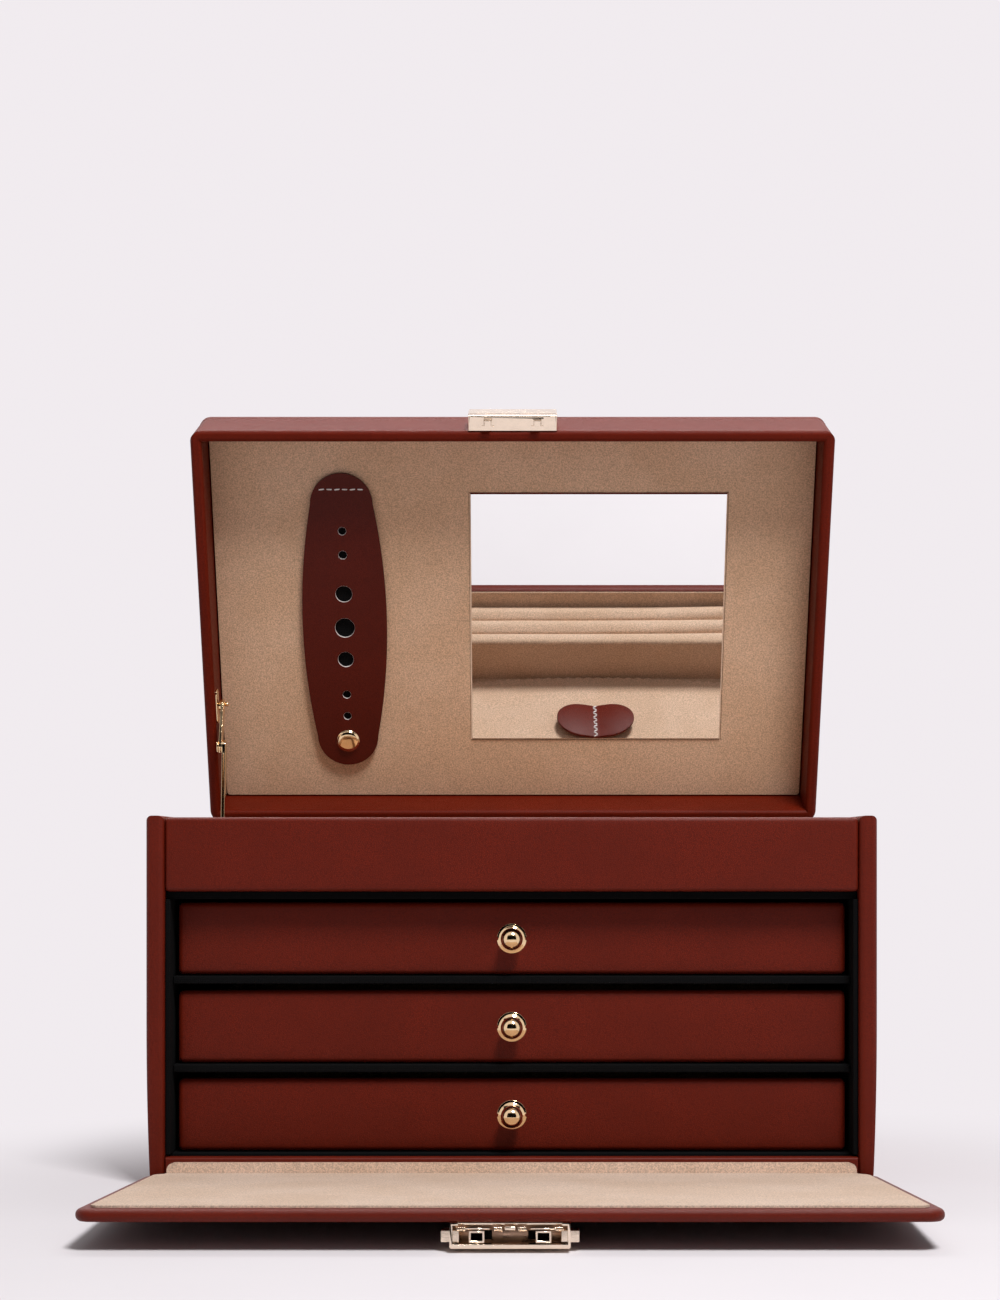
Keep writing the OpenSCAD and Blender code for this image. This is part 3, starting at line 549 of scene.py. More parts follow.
def grain_group():
    """Fine pebbled leather grain: its height, its pores and the slow change of its tone."""
    tree, into, out = group_shell(
        "leather_grain",
        [("Vector", "NodeSocketVector", None), ("Pebble", "NodeSocketFloat", 0.0006)],
        [("Height", "NodeSocketFloat"), ("Pores", "NodeSocketFloat"), ("Tone", "NodeSocketFloat")],
    )
    vector = into.outputs["Vector"]
    scale = maths(tree, "DIVIDE", -700, -200, 1.0, into.outputs["Pebble"])
    warp = add(tree, "ShaderNodeTexNoise", -700, 200, Scale=900.0, Detail=2.0)
    tree.links.new(vector, warp.inputs["Vector"])
    bend = add(tree, "ShaderNodeVectorMath", -500, 200, operation="SCALE", Scale=0.0005)
    tree.links.new(warp.outputs["Color"], bend.inputs[0])
    bent = add(tree, "ShaderNodeVectorMath", -330, 200, operation="ADD")
    tree.links.new(vector, bent.inputs[0])
    tree.links.new(bend.outputs[0], bent.inputs[1])
    cells = add(tree, "ShaderNodeTexVoronoi", -160, 200, feature="DISTANCE_TO_EDGE")
    tree.links.new(bent.outputs[0], cells.inputs["Vector"])
    tree.links.new(scale, cells.inputs["Scale"])
    pebbles = ramp(tree, 20, 200, cells.outputs["Distance"], 0.0, 0.28)
    folds = noise(tree, -160, -80, vector, maths(tree, "MULTIPLY", -500, -200, scale, 0.22), 4.0)
    height = maths(tree, "ADD", 380, 100, maths(tree, "MULTIPLY", 200, 160, pebbles, 0.55),
                   maths(tree, "MULTIPLY", 200, 0, folds, 0.75))
    tone = noise(tree, -160, -320, vector, 34.0, 3.0, 0.55)
    tree.links.new(height, out.inputs["Height"])
    tree.links.new(pebbles, out.inputs["Pores"])
    tree.links.new(tone, out.inputs["Tone"])
    return tree


def nap_group():
    """Brushed suede: tufts, the speckle of their shade and the marks that a hand leaves."""
    tree, into, out = group_shell(
        "suede_nap",
        [("Vector", "NodeSocketVector", None), ("Tuft", "NodeSocketFloat", 0.0011)],
        [("Height", "NodeSocketFloat"), ("Speckle", "NodeSocketFloat"),
         ("Brush", "NodeSocketFloat")],
    )
    vector = into.outputs["Vector"]
    scale = maths(tree, "DIVIDE", -700, -200, 1.0, into.outputs["Tuft"])
    tufts = noise(tree, -300, 250, vector, scale, 3.0, 0.62)
    fibres = noise(tree, -300, 0, vector, maths(tree, "MULTIPLY", -500, 0, scale, 3.1), 2.0, 0.6)
    brush = noise(tree, -300, -260, vector, 26.0, 4.0, 0.6)
    height = maths(tree, "ADD", 300, 150, maths(tree, "MULTIPLY", 100, 250, tufts, 0.7),
                   maths(tree, "MULTIPLY", 100, 60, fibres, 0.4))
    speckle = ramp(tree, 480, 0, height, 0.40, 0.70)
    tree.links.new(height, out.inputs["Height"])
    tree.links.new(speckle, out.inputs["Speckle"])
    tree.links.new(brush, out.inputs["Brush"])
    return tree


def polish_group():
    """Fine wiping marks of plated metal, as a change of roughness and a faint height."""
    tree, into, out = group_shell(
        "plating_marks",
        [("Vector", "NodeSocketVector", None), ("Roughness", "NodeSocketFloat", 0.16)],
        [("Roughness", "NodeSocketFloat"), ("Height", "NodeSocketFloat")],
    )
    stretch = add(tree, "ShaderNodeMapping", -650, 100, vector_type="POINT")
    stretch.inputs["Scale"].default_value = (300, 2600, 2600)
    tree.links.new(into.outputs["Vector"], stretch.inputs["Vector"])
    lines = noise(tree, -450, 100, stretch.outputs[0], 1.0, 3.0, 0.6)
    film = noise(tree, -450, -150, into.outputs["Vector"], 140.0, 2.0, 0.5)
    marks = ramp(tree, -200, 100, lines, 0.35, 0.75, 0.75, 1.45)
    smear = ramp(tree, -200, -150, film, 0.3, 0.7, 0.8, 1.25)
    both = maths(tree, "MULTIPLY", 50, 0, marks, smear)
    tree.links.new(maths(tree, "MULTIPLY", 300, 0, both, into.outputs["Roughness"]),
                   out.inputs["Roughness"])
    tree.links.new(lines, out.inputs["Height"])
    return tree


def new_material(name):
    """A material with its shader and output, and the object's own axes."""
    made = bpy.data.materials.new(name)
    made.use_nodes = True
    tree = made.node_tree
    tree.nodes.clear()
    shader = add(tree, "ShaderNodeBsdfPrincipled", 300, 0)
    out = add(tree, "ShaderNodeOutputMaterial", 650, 0)
    tree.links.new(shader.outputs[0], out.inputs["Surface"])
    axes = add(tree, "ShaderNodeTexCoord", -1100, 0)
    return made, tree, shader, axes.outputs["Object"]


def use_group(tree, group, at_x, at_y, vector, **values):
    made = add(tree, "ShaderNodeGroup", at_x, at_y, node_tree=group)
    tree.links.new(vector, made.inputs["Vector"])
    for key, value in values.items():
        made.inputs[key].default_value = value
    return made


def blend_colours(tree, at_x, at_y, factor, low, high):
    made = add(tree, "ShaderNodeMix", at_x, at_y, data_type="RGBA")
    tree.links.new(factor, made.inputs["Factor"])
    for label, colour in (("A", low), ("B", high)):
        socket = [s for s in made.inputs if s.name == label and s.type == "RGBA"][0]
        if hasattr(colour, "links"):
            tree.links.new(colour, socket)
        else:
            socket.default_value = (*colour, 1)
    return [s for s in made.outputs if s.type == "RGBA"][0]


def relief(tree, at_x, at_y, height, distance, strength=1.0, under=None):
    made = add(tree, "ShaderNodeBump", at_x, at_y, Distance=distance, Strength=strength)
    tree.links.new(height, made.inputs["Height"])
    if under is not None:
        tree.links.new(under, made.inputs["Normal"])
    return made.outputs["Normal"]


def shade(colour, amount):
    return tuple(max(0.0, min(1.0, c * amount)) for c in colour)


def leather_material(name, amount=1.0, gloss=0.18):
    """Smooth grained leather with a satin top coat."""
    finish = settings().leather
    made, tree, shader, axes = new_material(name)
    grain = use_group(tree, GROUPS["grain"], -800, 100, axes, Pebble=finish.pebble)
    colour = shade(finish.colour, amount)
    cloud = ramp(tree, -500, 200, grain.outputs["Tone"], 0.3, 0.7)
    base = blend_colours(tree, -300, 250, cloud, shade(colour, 0.90), shade(colour, 1.10))
    pores = blend_colours(tree, -100, 200, grain.outputs["Pores"], shade(colour, 0.62), base)
    tree.links.new(pores, shader.inputs["Base Color"])
    rough = finish.roughness
    tree.links.new(ramp(tree, -100, -50, grain.outputs["Pores"], 0, 1, rough + 0.12, rough),
                   shader.inputs["Roughness"])
    slack = relief(tree, -150, -400, noise(tree, -500, -400, axes, 70.0, 1.0, 0.4), 0.0003)
    tree.links.new(relief(tree, 60, -250, grain.outputs["Height"], finish.relief, 1.0, slack),
                   shader.inputs["Normal"])
    shader.inputs["Specular IOR Level"].default_value = gloss
    return made


def suede_material(name, tone=(1, 1, 1)):
    """Brushed suede with a soft sheen."""
    finish = settings().suede
    made, tree, shader, axes = new_material(name)
    nap = use_group(tree, GROUPS["nap"], -800, 100, axes, Tuft=finish.nap)
    colour = tuple(c * t for c, t in zip(finish.colour, tone))
    base = blend_colours(tree, -450, 250, nap.outputs["Speckle"], shade(colour, 0.66),
                         shade(colour, 1.14))
    hand = ramp(tree, -450, 0, nap.outputs["Brush"], 0.35, 0.65)
    warm = (colour[0] * 0.93, colour[1] * 0.90, colour[2] * 0.86)
    soft = add(tree, "ShaderNodeMix", -200, 200, data_type="RGBA", blend_type="MULTIPLY")
    tint = blend_colours(tree, -330, 0, hand, tuple(w / max(c, 1e-4) for w, c in
                                                   zip(warm, colour)), (1, 1, 1))
    soft.inputs[0].default_value = 1.0
    colours = [s for s in soft.inputs if s.type == "RGBA"]
    tree.links.new(base, colours[0])
    tree.links.new(tint, colours[1])
    tree.links.new([s for s in soft.outputs if s.type == "RGBA"][0], shader.inputs["Base Color"])
    tree.links.new(relief(tree, 60, -250, nap.outputs["Height"], finish.relief, 0.8),
                   shader.inputs["Normal"])
    shader.inputs["Roughness"].default_value = 0.93
    shader.inputs["Specular IOR Level"].default_value = 0.15
    shader.inputs["Sheen Weight"].default_value = 0.18
    shader.inputs["Sheen Roughness"].default_value = 0.5
    shader.inputs["Sheen Tint"].default_value = (0.95, 0.85, 0.72, 1)
    return made


def cloth_material(name):
    """Fine black cloth pasted on board, and the same black used as painted shade behind the strap's
    holes and on the lock's floor.
    """
    made, tree, shader, axes = new_material(name)
    weave = add(tree, "ShaderNodeTexWave", -800, 200, Scale=420.0, Distortion=0.6,
                bands_direction="X")
    weft = add(tree, "ShaderNodeTexWave", -800, -100, Scale=420.0, Distortion=0.6,
               bands_direction="Z")
    tree.links.new(axes, weave.inputs["Vector"])
    tree.links.new(axes, weft.inputs["Vector"])
    threads = maths(tree, "MULTIPLY", -550, 50, weave.outputs["Fac"], weft.outputs["Fac"])
    dust = noise(tree, -550, -200, axes, 60.0, 3.0)
    lift = maths(tree, "MULTIPLY", -350, 0, threads, dust)
    tree.links.new(blend_colours(tree, -150, 150, lift, (0.0016, 0.0016, 0.0019),
                                 (0.0060, 0.0060, 0.0068)), shader.inputs["Base Color"])
    tree.links.new(relief(tree, 60, -250, threads, 0.00008), shader.inputs["Normal"])
    shader.inputs["Roughness"].default_value = 0.85
    shader.inputs["Specular IOR Level"].default_value = 0.1
    return made


def gold_material(name, colour, extra=0.0):
    """Polished plating with fine wiping marks."""
    finish = settings().gold
    made, tree, shader, axes = new_material(name)
    marks = use_group(tree, GROUPS["polish"], -700, 0, axes, Roughness=finish.roughness + extra)
    spots = noise(tree, -700, 300, axes, 320.0, 3.0)
    tree.links.new(blend_colours(tree, -300, 250, ramp(tree, -500, 300, spots, 0.35, 0.65),
                                 shade(colour, 0.98), shade(colour, 1.02)),
                   shader.inputs["Base Color"])
    tree.links.new(marks.outputs["Roughness"], shader.inputs["Roughness"])
    tree.links.new(relief(tree, 60, -250, marks.outputs["Height"], 0.000006),
                   shader.inputs["Normal"])
    shader.inputs["Metallic"].default_value = 1.0
    return made


def mirror_material(name):
    """Silvered glass with a faint film of dust."""
    made, tree, shader, axes = new_material(name)
    film = noise(tree, -600, 0, axes, 45.0, 4.0, 0.6)
    tree.links.new(ramp(tree, -350, 0, film, 0.35, 0.8, 0.004, 0.014), shader.inputs["Roughness"])
    tree.links.new(blend_colours(tree, -150, 200, film, (0.94, 0.945, 0.945),
                                 (0.965, 0.97, 0.968)), shader.inputs["Base Color"])
    shader.inputs["Metallic"].default_value = 1.0
    return made


def edge_material(name):
    """The pale core of leather where a punch has cut it."""
    made, tree, shader, axes = new_material(name)
    fibre = noise(tree, -500, 0, axes, 1500.0, 3.0)
    tree.links.new(blend_colours(tree, -200, 100, fibre, (0.55, 0.47, 0.44),
                                 (0.85, 0.79, 0.76)), shader.inputs["Base Color"])
    tree.links.new(relief(tree, 0, -250, fibre, 0.00005), shader.inputs["Normal"])
    shader.inputs["Roughness"].default_value = 0.8
    return made


def thread_material(name):
    """Twisted white thread."""
    made, tree, shader, axes = new_material(name)
    twist = add(tree, "ShaderNodeTexWave", -700, 0, Scale=900.0, Distortion=2.0,
                bands_direction="DIAGONAL")
    tree.links.new(axes, twist.inputs["Vector"])
    tree.links.new(blend_colours(tree, -300, 150, twist.outputs["Fac"], (0.74, 0.70, 0.68),
                                 (0.93, 0.91, 0.90)), shader.inputs["Base Color"])
    tree.links.new(relief(tree, 0, -250, twist.outputs["Fac"], 0.0001), shader.inputs["Normal"])
    shader.inputs["Roughness"].default_value = 0.7
    return made


def paper_material(name):
    """Pale studio paper that takes the shadow near the case and fades into the background."""
    made, tree, shader, axes = new_material(name)
    colour = settings().studio.paper
    fibre = noise(tree, -800, 200, axes, 14.0, 3.0)
    tree.links.new(blend_colours(tree, -400, 250, fibre, shade(colour, 0.87),
                                 shade(colour, 0.90)), shader.inputs["Base Color"])
    shader.inputs["Roughness"].default_value = 0.9
    shader.inputs["Specular IOR Level"].default_value = 0.1
    flat = add(tree, "ShaderNodeVectorMath", -800, -150, operation="MULTIPLY_ADD")
    flat.inputs[1].default_value = (1, 1, 0)
    flat.inputs[2].default_value = (-0.03, 0.22, 0)
    tree.links.new(axes, flat.inputs[0])
    away = add(tree, "ShaderNodeVectorMath", -600, -150, operation="LENGTH")
    tree.links.new(flat.outputs[0], away.inputs[0])
    fade = ramp(tree, -400, -150, away.outputs["Value"], 0.17, 0.42)
    glow = add(tree, "ShaderNodeEmission", 300, -400, Color=(*colour, 1), Strength=1.0)
    rays = add(tree, "ShaderNodeLightPath", -400, -450)
    seen = maths(tree, "MAXIMUM", -200, -450, rays.outputs["Is Camera Ray"],
                 rays.outputs["Is Glossy Ray"])
    factor = maths(tree, "MULTIPLY", 0, -350, fade, seen)
    mix = add(tree, "ShaderNodeMixShader", 480, -100)
    out = [n for n in tree.nodes if n.type == "OUTPUT_MATERIAL"][0]
    tree.links.new(factor, mix.inputs[0])
    tree.links.new(shader.outputs[0], mix.inputs[1])
    tree.links.new(glow.outputs[0], mix.inputs[2])
    tree.links.new(mix.outputs[0], out.inputs["Surface"])
    return made


def screen_material(name):
    """Dull black felt of the studio's screen."""
    made, tree, shader, axes = new_material(name)
    felt = noise(tree, -500, 0, axes, 60.0, 3.0)
    tree.links.new(blend_colours(tree, -200, 100, felt, (0.006, 0.005, 0.005),
                                 (0.016, 0.015, 0.015)), shader.inputs["Base Color"])
    shader.inputs["Roughness"].default_value = 1.0
    shader.inputs["Specular IOR Level"].default_value = 0.0
    return made


def strip_material(name):
    """The glow of a strip light."""
    made, _, shader, _ = new_material(name)
    shader.inputs["Base Color"].default_value = (0, 0, 0, 1)
    shader.inputs["Specular IOR Level"].default_value = 0.0
    shader.inputs["Emission Color"].default_value = (1, 0.97, 0.94, 1)
    shader.inputs["Emission Strength"].default_value = 16.0
    return made


GROUPS = {}
FINISHES = {}


def finish(piece, body, material, *nodes, angle=50, ride=True):
    """Gives a piece its material, its body and the nodes that it stands for."""
    smooth(piece, angle)
    piece.shadow_terminator_geometry_offset = 0
    piece.data.materials.clear()
    piece.data.materials.append(FINISHES[material])
    if ride:
        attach(piece, body)
    if nodes:
        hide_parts(*nodes)
    return piece


class CASE_OT_materials(bpy.types.Operator):
    """Mixes the finishes: leather, suede, black cloth, gold plating, mirror and thread"""

    bl_idname = "jewellery_case.materials"
    bl_label = "Mix the finishes"

    def execute(self, context):
        GROUPS.update(grain=grain_group(), nap=nap_group(), polish=polish_group())
        FINISHES.update(
            leather=leather_material("wine_leather"),
            strap_leather=leather_material("strap_leather", 0.72),
            lid_leather=leather_material("lid_leather", gloss=0.08),
            suede=suede_material("sand_suede"),
            # Warmer, darker copy of the suede for the lid's lining: painted shade, as the lining
            # faces away from the lamps
            lid_suede=suede_material("lid_suede", (1.0, 0.94, 0.86)),
            # Darker copy of the suede for the tray: painted shade for the shadow that lies inside
            # the tray
            tray_suede=suede_material("tray_suede", (0.86, 0.83, 0.80)),
            # Paler, brighter copy of the suede for the flap, which faces up into the lamps: painted
            # light
            flap_suede=suede_material("flap_suede", (1.03, 1.10, 1.20)),
            black_cloth=cloth_material("black_cloth"),
            gold=gold_material("yellow_gold", settings().gold.colour),
            pale_gold=gold_material("pale_gold", settings().gold.pale_colour, 0.06),
            # The plating darkened for the lock's floor: painted shade in the deep of the housing
            dark_metal=gold_material("dark_bronze", (0.42, 0.27, 0.19), 0.25),
            cut_leather=edge_material("cut_leather"),
            mirror=mirror_material("silvered_glass"),
            thread=thread_material("white_thread"),
            paper=paper_material("studio_paper"),
            screen=screen_material("studio_screen"),
            strip=strip_material("studio_strip"),
        )
        for node in frame["nodes"].values():
            node.data.materials.clear()
            node.data.materials.append(FINISHES["leather"])
        return {"FINISHED"}


# ---- The studio ----


def lamp(name, at_point, aim, width, depth, power):
    """A soft lamp that faces a point."""
    clear()
    bpy.ops.object.light_add(type="AREA", location=at_point)
    light = bpy.context.object
    light.name = name
    light.data.shape = "RECTANGLE"
    light.data.size, light.data.size_y = width, depth
    light.data.energy = power
    light.rotation_euler = (Vector(aim) - Vector(at_point)).to_track_quat("-Z", "Y").to_euler()


def reflector(name, material, place):
    """A plane in the studio that only reflections show."""
    clear()
    bpy.ops.mesh.primitive_grid_add(x_subdivisions=2, y_subdivisions=2, size=1)
    piece = settle(bpy.context.object, place)
    piece.name = piece.data.name = name
    piece.data.materials.append(FINISHES[material])
    for kind in ("camera", "diffuse", "transmission", "volume_scatter", "shadow"):
        setattr(piece, f"visible_{kind}", False)
    return piece


class CASE_OT_studio(bpy.types.Operator):
    """Sets up the camera, the lamps, the paper floor and the pale surroundings"""

    bl_idname = "jewellery_case.studio"
    bl_label = "Set up the studio"

    def execute(self, context):
        studio = settings().studio
        scene = context.scene
        clear()
        bpy.ops.object.camera_add(location=studio.camera_at, rotation=(math.pi / 2, 0, 0))
        camera = context.object
        camera.name = "studio_camera"
        camera.data.lens = studio.lens
        camera.data.sensor_width = 36
        camera.data.shift_x, camera.data.shift_y = studio.shift
        camera.data.clip_start, camera.data.clip_end = 0.01, 50
        scene.camera = camera
        scene.view_settings.view_transform = "Standard"

        lamp("key_lamp", (0.33, -0.80, 1.33), (0, -0.05, 0.10), 0.36, 0.36, studio.key)
        lamp("top_lamp", (0.10, 0.42, 1.25), (0, -0.05, 0.10), 1.3, 0.26, studio.top)

        floor = primitive("paper_floor", "grid", x_subdivisions=8, y_subdivisions=8, size=30)
        for corner in floor.data.vertices:
            corner.co.z -= 0.00005
        floor.data.materials.append(FINISHES["paper"])

        # A dark screen behind the camera gives metal and leather their depth
        upright = Matrix.Rotation(math.pi / 2, 4, "X")
        reflector("dark_screen", "screen", Matrix.Translation((0, -2.0, 1.05)) @ upright
                           @ Matrix.Diagonal((4.6, 2.3, 1, 1)))

        # A bright strip overhead draws the highlights along the edges
        tilted = Matrix.Rotation(-0.3, 4, "X")
        reflector("bright_strip", "strip", Matrix.Translation((0, 0.40, 1.12)) @ tilted
                           @ Matrix.Diagonal((2.0, 0.22, 1, 1)))

        world = bpy.data.worlds.new("studio_surroundings")
        scene.world = world
        world.use_nodes = True
        tree = world.node_tree
        tree.nodes.clear()
        rays = add(tree, "ShaderNodeLightPath", -600, 200)
        seen = maths(tree, "MAXIMUM", -350, 200, rays.outputs["Is Camera Ray"],
                     maths(tree, "MAXIMUM", -450, 0, rays.outputs["Is Glossy Ray"],
                           rays.outputs["Is Transmission Ray"]))
        light = add(tree, "ShaderNodeBackground", -100, 100, Strength=studio.sky)
        light.inputs["Color"].default_value = (1, 0.985, 0.99, 1)
        shown = add(tree, "ShaderNodeBackground", -100, -100, Strength=1.0)
        shown.inputs["Color"].default_value = (*studio.paper, 1)
        mix = add(tree, "ShaderNodeMixShader", 150, 0)
        out = add(tree, "ShaderNodeOutputWorld", 350, 0)
        tree.links.new(seen, mix.inputs[0])
        tree.links.new(light.outputs[0], mix.inputs[1])
        tree.links.new(shown.outputs[0], mix.inputs[2])
        tree.links.new(mix.outputs[0], out.inputs["Surface"])
        return {"FINISHED"}


# ---- The case ----


def whole_copy(name, node, body, material, width=EDGE, segments=2, flat=True):
    """A node's own form with its edges rounded, under a finish."""
    piece = from_node(name, node)
    soften_edges(piece, width, segments)
    finish(piece, body, material, node)
    if flat:
        even_normals(piece)
    return piece


class CASE_OT_body(bpy.types.Operator):
    """Wraps the sides, rear, rail, fascia and base of the case"""

    bl_idname = "jewellery_case.body"
    bl_label = "Wrap the case"

    def execute(self, context):
        wraps = {
            "side_wrap_left": "side_panel_left",
            "side_wrap_right": "side_panel_right",
            "rear_wrap": "rear_panel",
            "rail_wrap": "bottom_rail",
        }
        for name, node in wraps.items():
            whole_copy(name, node, "case", "leather")
        whole_copy("base_sheet", "base_cover", "case", "leather", 0.0003)
        low, high = node_box("front_fascia")
        fascia = block("fascia_wrap", low, high)
        round_over(fascia, lambda e: True, 0.0016, 4)
        swell(fascia, lambda f: f.normal.y < -0.99 and f.calc_area() > 0.001,
              [(0.0015, 0.00010), (0.003, 0.00008), (0.004, 0.00004)])
        finish(fascia, "case", "leather", "front_fascia")
        return {"FINISHED"}


class CASE_OT_boards(bpy.types.Operator):
    """Covers the boards inside the cabinet in black cloth"""

    bl_idname = "jewellery_case.boards"
    bl_label = "Cover the boards"

    def execute(self, context):
        boards = {
            "base_core": "base_board",
            "floor_board": "cabinet_floor",
            "shelf_board_lower": "drawer_shelf_lower",
            "shelf_board_upper": "drawer_shelf_upper",
            "black_liner": "cabinet_liner",
            "tray_base": "tray_board",
        }
        for name, node in boards.items():
            whole_copy(name, node, "case", "black_cloth")
        return {"FINISHED"}


# ---- The tray ----


def swell_by_cloth(piece, pressure, cap, frames=20):
    """Blows a piece up as stuffed cloth and holds each point within a cap of where it was."""
    scene = bpy.context.scene
    before = [corner.co.copy() for corner in piece.data.vertices]
    grasp(piece)
    cloth = piece.modifiers.new("filling", "CLOTH")
    cloth.settings.use_pressure = True
    cloth.settings.uniform_pressure_force = pressure
    cloth.settings.effector_weights.gravity = 0
    cloth.settings.quality = 5
    cloth.settings.tension_stiffness = 25
    cloth.settings.compression_stiffness = 25
    cloth.settings.bending_stiffness = 1.5
    cloth.point_cache.frame_start = 1
    cloth.point_cache.frame_end = frames
    for number in range(1, frames + 1):
        scene.frame_set(number)
    bpy.ops.object.modifier_apply(modifier=cloth.name)
    scene.frame_set(1)
    for corner, start in zip(piece.data.vertices, before):
        step = corner.co - start
        if step.length > cap:
            corner.co = start + step.normalized() * cap


class CASE_OT_tray(bpy.types.Operator):
    """Lines the tray in suede and sets its two dividers"""

    bl_idname = "jewellery_case.tray"
    bl_label = "Line the tray"

    def execute(self, context):
        # The tray's lining and its dividers take the darker copy of the suede, which is painted
        # shade
        whole_copy("tray_suede", "tray_lining", "case", "tray_suede")
        for name, node, across in (
            ("divider_long", "tray_divider", 0),
            ("divider_cross", "tray_cross_divider", 1),
        ):
            low, high = node_box(node)
            wall = block(name, low, high)
            half = (high[1 - across] - low[1 - across]) / 2
            top = high.z
            round_over(wall, lambda e: along(e, across) and at(e.verts[0].co.z, top),
                       half * 0.96, 6)
            finish(wall, "case", "tray_suede", node, angle=60)
        return {"FINISHED"}


class CASE_OT_rolls(bpy.types.Operator):
    """Stuffs the three ring rolls"""

    bl_idname = "jewellery_case.rolls"
    bl_label = "Stuff the ring rolls"

    def execute(self, context):
        padding = settings().padding
        low, high = node_box("ring_roll_front")
        slim = Vector((0.0005, 0.0006, 0.0004))
        roll = block("ring_roll_a", low + slim, high - slim)
        width = high.y - low.y - 2 * slim.y
        round_over(roll, lambda e: along(e, 0) and e.verts[0].co.z > low.z + 0.01,
                   width * 0.49, 6)
        if padding.simulate:
            remesh = roll.modifiers.new("even", "REMESH")
            remesh.mode = "VOXEL"
            remesh.voxel_size = padding.roll_voxel
            apply_all(roll)
            swell_by_cloth(roll, padding.roll_pressure, 0.0012)
            for corner in roll.data.vertices:
                corner.co = [
                    min(max(value, a), b) for value, a, b in zip(corner.co, low, high)
                ]
            subdivide(roll)
        pitch = node_box("ring_roll_middle")[0].y - low.y
        rolls = [
            roll,
            twin(roll, "ring_roll_b", (0, pitch, 0)),
            twin(roll, "ring_roll_c", (0, 2 * pitch, 0)),
        ]
        for piece, node in zip(rolls, ("front", "middle", "rear")):
            finish(piece, "case", "suede", f"ring_roll_{node}", angle=70)
        return {"FINISHED"}


class CASE_OT_cover(bpy.types.Operator):
    """Lays the suede cover with its pinked edge and its sewn leather tab"""

    bl_idname = "jewellery_case.cover"
    bl_label = "Lay the tray cover"

    def execute(self, context):
        sewing = settings().needlework
        low, high = node_box("tray_cover")
        thickness = 0.0011
        width = high.x - low.x
        middle = (high.x + low.x) / 2
        rear, front = high.y, low.y
        rear_z, front_z = high.z - 0.0001, low.z + thickness
        sag = 0.008
        cover = primitive("suede_cover", "grid", x_subdivisions=sewing.teeth * 4,
                          y_subdivisions=56, size=1)
        tooth = 1 / sewing.teeth
        for corner in cover.data.vertices:
            u, v = corner.co.x + 0.5, 0.5 - corner.co.y
            x = middle + (u - 0.5) * width
            edge = front + sag * (2 * u - 1) ** 2
            if v > 1 - 1e-4:
                phase = (u / tooth) % 1
                edge += sewing.tooth_depth * (abs(2 * phase - 1))
            y = rear + (edge - rear) * v
            share = (rear - y) / (rear - front)
            z = rear_z + (front_z - rear_z) * share
            z -= 0.0007 * math.sin(math.pi * share)
            z += 0.0004 * math.sin(u * 7.0 + 0.6) * math.sin(math.pi * share) * math.sin(v * 5)
            corner.co = (x, y, z)
        thicken(cover, thickness, -1)
        outwards(cover)
        finish(cover, "cover", "suede", "tray_cover", angle=60, ride=False)
        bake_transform(cover)

        tab_low, tab_high = node_box("cover_tab")
        centre = Vector(((tab_low.x + tab_high.x) / 2, (tab_low.y + tab_high.y) / 2, 0))
        half = Vector(((tab_high.x - tab_low.x) / 2, (tab_high.y - tab_low.y) / 2, 0))
        slope = (rear_z - front_z) / (rear - front)
        base = rear_z - (rear - centre.y) * slope + 0.0003
        tab_t = 0.0014
        tab = block("cover_pull_tab", (-half.x, -half.y, 0), (half.x, half.y, tab_t))
        round_over(tab, lambda e: along(e, 2), half.y * 0.98, 14)
        round_over(tab, lambda e: abs(e.verts[0].co.z - e.verts[1].co.z) < 1e-6
                   and len(e.link_faces) == 2
                   and abs(e.link_faces[0].normal.z) + abs(e.link_faces[1].normal.z) < 1.5,
                   0.0004, 2)
        slices(tab, 0, [s * half.x * k / 8 for s in (-1, 1) for k in range(1, 8)] + [0.0])
        for corner in tab.data.vertices:
            out = abs(corner.co.x) / half.x
            corner.co.z += 0.0030 * out - 0.0003 * (1 - out) ** 6
        tilt = Matrix.Rotation(math.atan(slope), 4, "X")
        place = Matrix.Translation((centre.x, centre.y, base)) @ tilt
        settle(tab, place)
        finish(tab, "cover", "leather", "cover_tab", angle=45)
        threads = []
        count = 13
        for i in range(count):
            y0 = -half.y + 2 * half.y * (i + 0.08) / count
            y1 = -half.y + 2 * half.y * (i + 0.92) / count
            side = 1 if i % 2 else -1
            threads.append(
                stitch(f"zigzag_{i}", (-0.0011 * side, y0, 0.0013), (0.0011 * side, y1, 0.0013),
                       (0, 0, 1), sewing.thread * 1.3)
            )
        zigzag = settle(join(threads, "tab_zigzag"), place)
        finish(zigzag, "cover", "thread")
        return {"FINISHED"}


# ---- The drawers ----


def by_level(piece, name, rise):
    """A piece of the bottom drawer and its twins on the drawers above."""
    return {
        "bottom": piece,
        "middle": twin(piece, f"{name}_middle", (0, 0, rise)),
        "top": twin(piece, f"{name}_top", (0, 0, 2 * rise)),
    }


class CASE_OT_drawers(bpy.types.Operator):
    """Pads the drawers' faces and lines their boxes"""

    bl_idname = "jewellery_case.drawers"
    bl_label = "Make the drawers"

    def execute(self, context):
        crown = settings().padding.face_crown
        low, high = node_box("drawer_front_bottom")
        face = block("drawer_face_bottom", low, high)
        round_over(face, lambda e: True, 0.0022, 5)
        swell(face, lambda f: f.normal.y < -0.99 and f.calc_area() > 0.001,
              [(0.0015, crown * 0.30), (0.003, crown * 0.35), (0.004, crown * 0.25),
               (0.003, crown * 0.10)])
        rise = node_box("drawer_front_middle")[0].z - low.z
        for level, piece in by_level(face, "drawer_face", rise).items():
            body = f"drawer_{level}"
            finish(piece, body, "leather", f"drawer_front_{level}", angle=60)
            whole_copy(f"drawer_tray_{level}", f"drawer_box_{level}", body, "black_cloth")
            whole_copy(f"drawer_suede_{level}", f"drawer_lining_{level}", body, "suede", 0.0003)
        return {"FINISHED"}


